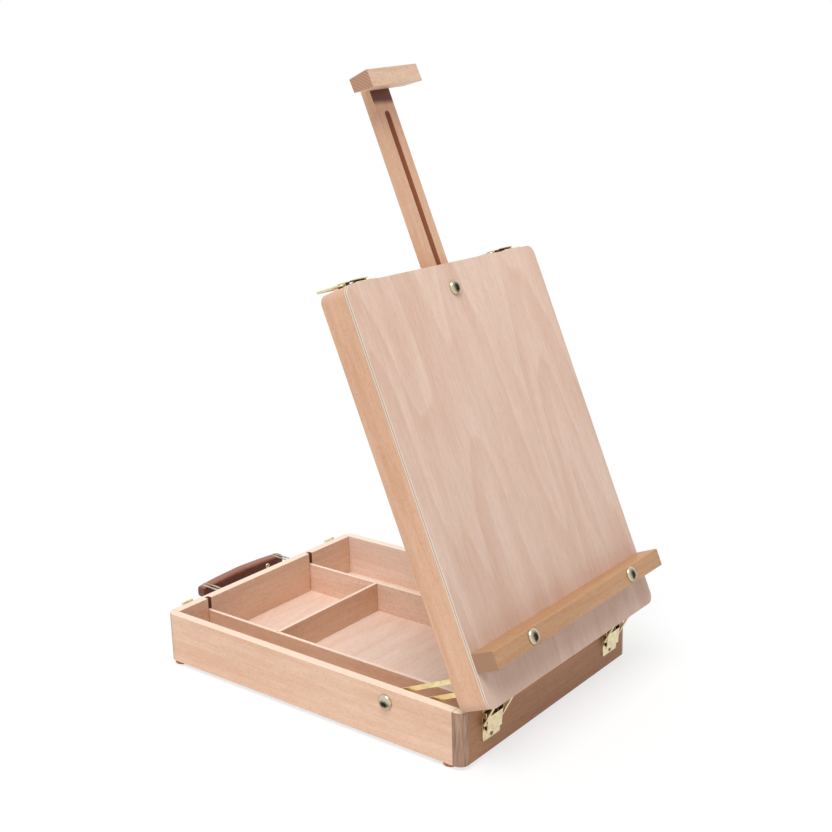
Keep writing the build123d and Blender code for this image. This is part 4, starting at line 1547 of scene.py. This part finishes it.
@dataclass
class CanvasClamp:
    """The mast's clamp block: screwed on a little askew, its lip hooking over a canvas."""

    finishes: Finishes
    half_width: float = 34.1
    middle: float = -0.7
    tilt_deg: float = 3.4
    # Up the lid and out from its rim, from the upper back corner round the front
    section: tuple[Pair, ...] = ((521.0, 22.0), (521.0, 43.2), (505.4, 43.2), (509.1, 22.0))
    # Width of the rounded edges, and the facets over them
    edge: tuple[float, int] = (0.6, 3)

    def build(self) -> None:
        """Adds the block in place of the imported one."""
        tilt = Matrix.Rotation(math.radians(self.tilt_deg), 3, LID_OUT)
        centre = lid_point(self.middle, *self.section[0]) / MM
        corners = [lid_point(self.middle - self.half_width, s, t) / MM for s, t in self.section]
        outline = [centre + tilt @ (corner - centre) for corner in corners]
        wood = self.finishes.wood(self.finishes.beech_plain, Grain.LID_STRIP)
        mesh = solid_mesh("clamp_block", [(outline, tilt @ AXIS_X * 2 * self.half_width, 0)], [wood])
        block = add_piece("clamp_block", mesh, "mast", Matrix.Identity(4))
        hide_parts("mast_block")
        rounded_edges(block, *self.edge)


@dataclass
class KeeperRolls:
    """Rolled upper edges of the two keepers on the box's back."""

    finishes: Finishes
    half_width: float = 6.5
    radius: float = 1.3
    # How far the roll stands off the board, and how far from its middle point its arc starts
    gap: float = 0.6
    bend: float = 0.5

    def build(self) -> None:
        """Adds one roll over each keeper plate."""
        material = self.finishes.plain(self.finishes.brass_sheet)
        for side in Side:
            x = middle_x(f"keeper_back_{side.value}")
            middle = Vector((x, BOX_BACK + self.radius + self.gap, BOX_RIM))
            reach = AXIS_X * self.half_width
            name = f"keeper_roll_{side.value}"
            route = [middle - reach, middle, middle + reach]
            mesh = wire_mesh(name, route, self.radius, self.bend, material)
            add_piece(name, mesh, "box", Matrix.Identity(4))


@dataclass
class LatchWork:
    """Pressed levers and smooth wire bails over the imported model's plain ones. Sizes are millimetres."""

    finishes: Finishes
    half_width: float = 10.5
    sheet: float = 0.8
    # Along the plate and out from it: the lever's top face, from its pivot end to its lip
    slope: tuple[Pair, ...] = ((22.6, 5.5), (9.4, 4.1), (8.0, 4.5))
    # The flange's edge before and after its rounded end at the pivot
    flange_top: tuple[Pair, ...] = ((9.6, 3.6), (22.6, 5.0))
    flange_foot: tuple[Pair, ...] = ((18.3, 1.2), (11.0, 1.2))
    # Radius of that end, its reach to each side in degrees, and its points
    end_radius: float = 1.5
    end_deg: float = 75.0
    end_points: int = 8
    pivot: Pair = (24.0, 3.2)
    pin_radius: float = 0.75
    pin_half: float = 12.2
    pin_points: int = 20
    eye: Pair = (15.5, 2.7)
    eye_radius: float = 1.5
    eye_points: int = 24
    # Thickness of the ring round the eye, and how far it sinks into the flange
    eye_ring: float = 0.3
    eye_sunk: float = 0.05
    bail_half: float = 13.7
    bail_hook: float = 9.2
    bail_length: float = 28.5
    wire_radius: float = 1.0
    wire_bend: float = 2.0
    # How far the bails of each row lean out from the wood
    lean_deg: Mapping[Row, float] = field(default_factory=lambda: {Row.FRONT: 28.0, Row.BACK: 5.0})
    # Width of the rounded edges, the facets over them, and the angle from which an edge counts as sharp
    edge: tuple[float, int, float] = (0.15, 2, 40.0)

    def build(self) -> None:
        """Adds the levers and bails of the four latches."""
        lever = self._lever()
        for row in Row:
            bail = self._bail(self.lean_deg[row])
            for side in Side:
                place = latch_place(row, side).at(0, 0, 0)
                self._stand_in(f"lever_{row.value}_{side.value}", lever, place)
                self._stand_in(f"bail_{row.value}_{side.value}", bail, place)

    def _stand_in(self, node: str, mesh: bpy.types.Mesh, place: Matrix) -> None:
        """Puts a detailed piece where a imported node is.

        Args:
            node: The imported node.
            mesh: The detailed mesh.
            place: Where it goes.
        """
        piece = add_piece(f"fine_{node}", mesh, body_of(node), place)
        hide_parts(node)
        rounded_edges(piece, *self.edge)

    def _lever(self) -> bpy.types.Mesh:
        """Sheet lever: sloping top with a turned-up lip, two flanges and the pivot pin.

        Returns:
            The mesh.
        """
        half, sheet = self.half_width, self.sheet
        under = [(v, w - sheet) for v, w in reversed(self.slope)]
        end = self._arc(self.pivot, self.end_radius, self.end_deg, -self.end_deg, self.end_points)
        flange = [*self.flange_top, *end, *self.flange_foot]
        pin = self._circle(self.pivot, self.pin_radius, self.pin_points)
        eye = self._circle(self.eye, self.eye_radius, self.eye_points)
        # Outline, first and last X, and the number of the material
        plates = (
            ([*self.slope, *under], -half, half, 0),
            # The flanges and the pin take material 1, painted shade
            (flange, -half, sheet - half, 1),
            (flange, half - sheet, half, 1),
            (pin, -self.pin_half, self.pin_half, 1),
            (eye, self.eye_sunk - self.eye_ring - half, self.eye_sunk - half, 0),
            (eye, half - self.eye_sunk, half - self.eye_sunk + self.eye_ring, 0),
        )
        parts = [
            ([Vector((first, v, w)) for v, w in outline], Vector((last - first, 0, 0)), number)
            for outline, first, last, number in plates
        ]
        f = self.finishes
        return solid_mesh("pressed_lever", parts, (f.plain(f.brass_sheet), f.plain(f.oxidised_brass)))

    def _arc(self, centre: Pair, radius: float, first: float, last: float, count: int) -> list[Pair]:
        """Points on an arc, its ends included.

        Args:
            centre: The centre, along the plate and out from it.
            radius: Radius in millimetres.
            first: Angle of the first point in degrees.
            last: Angle of the last point in degrees.
            count: Number of points.

        Returns:
            The points, along the plate and out from it.
        """
        turns = [math.radians(first + (last - first) * k / (count - 1)) for k in range(count)]
        return [(centre[0] + radius * math.cos(a), centre[1] + radius * math.sin(a)) for a in turns]

    def _circle(self, centre: Pair, radius: float, count: int) -> list[Pair]:
        """Points evenly round a full circle, along the plate and out from it."""
        return self._arc(centre, radius, 0.0, 360.0 - 360.0 / count, count)

    def _bail(self, lean: float) -> bpy.types.Mesh:
        """Wire bail leaning out from the wood.

        Args:
            lean: How far it leans out, in degrees.

        Returns:
            The mesh.
        """
        along = Vector((0.0, math.cos(math.radians(lean)), math.sin(math.radians(lean))))
        eye = Vector((0.0, *self.eye))
        flat = (
            (-self.bail_hook, 0),
            (-self.bail_half, 0),
            (-self.bail_half, self.bail_length),
            (self.bail_half, self.bail_length),
            (self.bail_half, 0),
            (self.bail_hook, 0),
        )
        points = [eye + AXIS_X * u + along * reach for u, reach in flat]
        brass = self.finishes.plain(self.finishes.brass_sheet)
        return wire_mesh("wire_bail", points, self.wire_radius, self.wire_bend, brass)


@dataclass
class LeatherGrip:
    """The carrying handle's leather grip: a folded strap sewn along both edges. Sizes are millimetres."""

    finishes: Finishes
    # X, height of the middle above the table, depth and height of the section, over the right half
    half_sections: tuple[tuple[float, float, float, float], ...] = (
        (0.0, 39.6, 12.8, 14.6),
        (30.0, 39.1, 12.2, 13.4),
        (50.0, 38.5, 11.2, 12.0),
        (56.2, 38.4, 10.2, 11.0),
        (57.0, 38.4, 9.0, 9.6),
    )
    middle_y: float = 209.0
    # Power of the section's outline: 1 is an ellipse, less is squarer
    squareness: float = 0.48
    # Points round a section, steps between two sections, and the angle from which an edge stays sharp
    around: int = 56
    between: int = 8
    sharp_deg: float = 50.0
    # Pitch of the stitches, how far they run from the middle, and how low they lie, in grip heights
    stitch_pitch: float = 3.6
    stitch_reach: float = 46.0
    stitch_drop: float = 0.28
    # Length, depth and height of a stitch
    stitch: Triple = (2.3, 0.5, 0.55)
    stud_x: float = 32.5
    # Radius, height and upright rim of the stud, the steps over it and round it, and how far it sinks in
    stud: Triple = (2.6, 1.5, 0.3)
    stud_steps: tuple[int, int] = (8, 32)
    stud_sunk: float = 0.2

    @property
    def sections(self) -> list[tuple[float, float, float, float]]:
        """Sections from the left end to the right one."""
        return [(-x, *rest) for x, *rest in reversed(self.half_sections[1:])] + list(self.half_sections)

    def build(self) -> None:
        """Adds the grip, its stitches and its stud."""
        grip = self._strap()
        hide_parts("handle_grip")
        self._stitches()
        self._stud()

    def _strap(self) -> bpy.types.Object:
        """Adds the sewn leather tube.

        Returns:
            The grip.
        """
        shape = bmesh.new()
        loops = []
        for x, z, depth, height in self._spans():
            outline = self._outline(depth, height)
            points = [Vector((x, self.middle_y + y, z + h)) * MM for y, h in outline]
            loops.append([shape.verts.new(point) for point in points])
        for low, high in zip(loops, loops[1:]):
            for k in range(self.around):
                after = (k + 1) % self.around
                shape.faces.new((low[k], high[k], high[after], low[after]))
        shape.faces.new(loops[0])
        shape.faces.new(list(reversed(loops[-1])))
        leather = self.finishes.plain(self.finishes.leather)
        mesh = finished_mesh("leather_grip", shape, [leather], smooth=True)
        mesh.set_sharp_from_angle(angle=math.radians(self.sharp_deg))
        return add_piece("leather_grip", mesh, "handle", Matrix.Identity(4))

    def _spans(self) -> Iterable[tuple[float, ...]]:
        """Sections along the grip, in even steps between the named ones.

        Yields:
            X, height of the middle, depth and height of each.
        """
        for first, last in zip(self.sections, self.sections[1:]):
            for share in (step / self.between for step in range(self.between)):
                yield tuple(a + (b - a) * share for a, b in zip(first, last))
        yield self.sections[-1]

    def _outline(self, depth: float, height: float) -> Iterable[Pair]:
        """Rounded outline of one section.

        Args:
            depth: Its depth.
            height: Its height.

        Yields:
            Y and Z of each point, from the section's middle.
        """
        for angle in (2 * math.pi * k / self.around for k in range(self.around)):
            c, s = math.cos(angle), math.sin(angle)
            y = math.copysign(abs(c) ** self.squareness, c) * depth / 2
            z = math.copysign(abs(s) ** self.squareness, s) * height / 2
            yield y, z

    def _section_at(self, x: float) -> tuple[float, ...]:
        """Section of the grip at one X.

        Args:
            x: The place along the grip.

        Returns:
            Height of the middle, depth and height.
        """
        for first, last in zip(self.sections, self.sections[1:]):
            if first[0] <= x <= last[0]:
                share = (x - first[0]) / (last[0] - first[0])
                return tuple(a + (b - a) * share for a, b in zip(first[1:], last[1:]))
        raise ValueError(f"{x} is off the grip")

    def _stitches(self) -> None:
        """Adds a row of stitches low on each side of the grip."""
        shape = bmesh.new()
        size = Matrix.Diagonal((*(Vector(self.stitch) * MM), 1))
        # How far out the section's outline is at the stitches' height, as a share of half its depth
        out = (1 - (2 * self.stitch_drop) ** (2 / self.squareness)) ** (self.squareness / 2)
        count = int(2 * self.stitch_reach / self.stitch_pitch)
        for side, k in ((side, k) for side in (-1, 1) for k in range(count + 1)):
            x = self.stitch_pitch * k - self.stitch_reach
            z, depth, height = self._section_at(x)
            middle = Vector((x, self.middle_y + side * out * depth / 2, z - self.stitch_drop * height))
            place = Matrix.Translation(middle * MM) @ size
            bmesh.ops.create_uvsphere(shape, u_segments=10, v_segments=8, radius=0.5, matrix=place)
        thread = self.finishes.plain(self.finishes.thread)
        mesh = finished_mesh("grip_stitches", shape, [thread], smooth=True)
        add_piece("grip_stitches", mesh, "handle", Matrix.Identity(4))

    def _stud(self) -> None:
        """Adds the brass stud on the grip's inner face."""
        brass = self.finishes.plain(self.finishes.brass_turned)
        over, around = self.stud_steps
        mesh = turned("grip_stud", domed_outline(*self.stud, over), brass, around)
        z, depth, _ = self._section_at(self.stud_x)
        face = Place(Vector((self.stud_x, self.middle_y - depth / 2, z)) * MM, AXIS_X, AXIS_Z)
        add_piece("grip_stud", mesh, "handle", face.at(0, 0, -self.stud_sunk))


@dataclass
class Studio:
    """White table, soft lamp and the photograph's camera. Angles are radians, places metres."""

    azimuth: float = 0.89776
    elevation: float = -0.26381
    roll: float = -0.02616
    eye: Vector = field(default_factory=lambda: Vector((-0.8703, -0.7250, 0.5471)))
    lens_mm: float = 55.605
    sensor_mm: float = 36.0
    ambient: float = 0.52
    table_reach: float = 6.0
    # Colour of the card, and how far it is seen as plain white
    card: str = "#f2f2f2"
    table_glow: float = 0.72
    lamp_from: Vector = field(default_factory=lambda: Vector((-1.0, -0.3, 2.4)))
    lamp_spread: float = 0.6
    lamp_strength: float = 2.3

    def build(self) -> None:
        """Adds the stage, the light and the camera."""
        self._table()
        self._world()
        self._lamp()
        self._camera()
        bpy.context.scene.view_settings.view_transform = "Standard"
        LOG.info("set up the table, the light and the camera")

    def _table(self) -> None:
        """A wide white card under the easel, which keeps the easel's shadow."""
        shape = bmesh.new()
        bmesh.ops.create_grid(shape, x_segments=4, y_segments=4, size=self.table_reach)
        # Uncoated white card: matt, with no shine at all
        shader = Shader(bpy.data.materials.new("matt_white_card"))
        card = shader.add("ShaderNodeBsdfDiffuse", {"Color": linear(self.card)})
        seen = shader.add("ShaderNodeEmission", {"Color": WHITE, "Strength": 1.0})
        share = shader.add("ShaderNodeMath", {
            "operation": "MULTIPLY", 0: self._seen_directly(shader), 1: self.table_glow,
        })
        both = shader.add("ShaderNodeMixShader", {0: share, 1: card, 2: seen})
        shader.add("ShaderNodeOutputMaterial", {"Surface": both})
        sheet = in_scene("table_sheet", finished_mesh("table_sheet", shape, [shader.owner]))

    def _seen_directly(self, shader: Shader) -> Socket:
        """One for rays that show the background: from the camera, off metal or through glass.

        Args:
            shader: The node tree being written.

        Returns:
            The mask.
        """
        seen: Socket | float = 0.0
        for ray in ("Is Camera Ray", "Is Glossy Ray", "Is Transmission Ray"):
            outlet = shader.add("ShaderNodeLightPath", {}, ray)
            seen = shader.add("ShaderNodeMath", {"operation": "MAXIMUM", 0: seen, 1: outlet})
        return seen

    def _world(self) -> None:
        """White surroundings, dimmer as a light than as a background."""
        world = bpy.data.worlds.new("white_room")
        shader = Shader(world)
        strength = shader.add("ShaderNodeMath", {
            "operation": "MULTIPLY_ADD", 0: self._seen_directly(shader), 1: 1 - self.ambient, 2: self.ambient,
        })
        light = shader.add("ShaderNodeBackground", {"Color": WHITE, "Strength": strength})
        shader.add("ShaderNodeOutputWorld", {"Surface": light})
        bpy.context.scene.world = world

    def _lamp(self) -> None:
        """One broad overhead softbox, far enough off to light the whole table evenly."""
        data = bpy.data.lights.new("softbox", "SUN")
        data.angle = self.lamp_spread
        data.energy = self.lamp_strength
        lamp = in_scene("softbox", data)
        lamp.location = self.lamp_from
        lamp.rotation_euler = (-self.lamp_from).to_track_quat("-Z", "Y").to_euler()

    def _camera(self) -> None:
        """Camera at the photograph's place, angle and lens."""
        data = bpy.data.cameras.new("photo_camera")
        data.lens = self.lens_mm
        data.sensor_width = self.sensor_mm
        camera = in_scene("photo_camera", data)
        level = math.cos(self.elevation)
        ahead = Vector((
            math.sin(self.azimuth) * level,
            math.cos(self.azimuth) * level,
            math.sin(self.elevation),
        ))
        right = ahead.cross(AXIS_Z).normalized()
        up = right.cross(ahead)
        tilted_right = right * math.cos(self.roll) + up * math.sin(self.roll)
        tilted_up = up * math.cos(self.roll) - right * math.sin(self.roll)
        turn = Matrix((tilted_right, tilted_up, -ahead)).transposed()
        camera.matrix_world = Matrix.Translation(self.eye) @ turn.to_4x4()
        bpy.context.scene.camera = camera


def main() -> None:
    """Builds the whole scene."""
    logging.basicConfig(level=logging.INFO)
    finishes = Finishes()
    CadDresser(finishes).dress()
    Fittings(finishes, ScrewSet(finishes)).build()
    CanvasClamp(finishes).build()
    KeeperRolls(finishes).build()
    LatchWork(finishes).build()
    LeatherGrip(finishes).build()
    Studio().build()


if __name__ == "__main__":
    main()
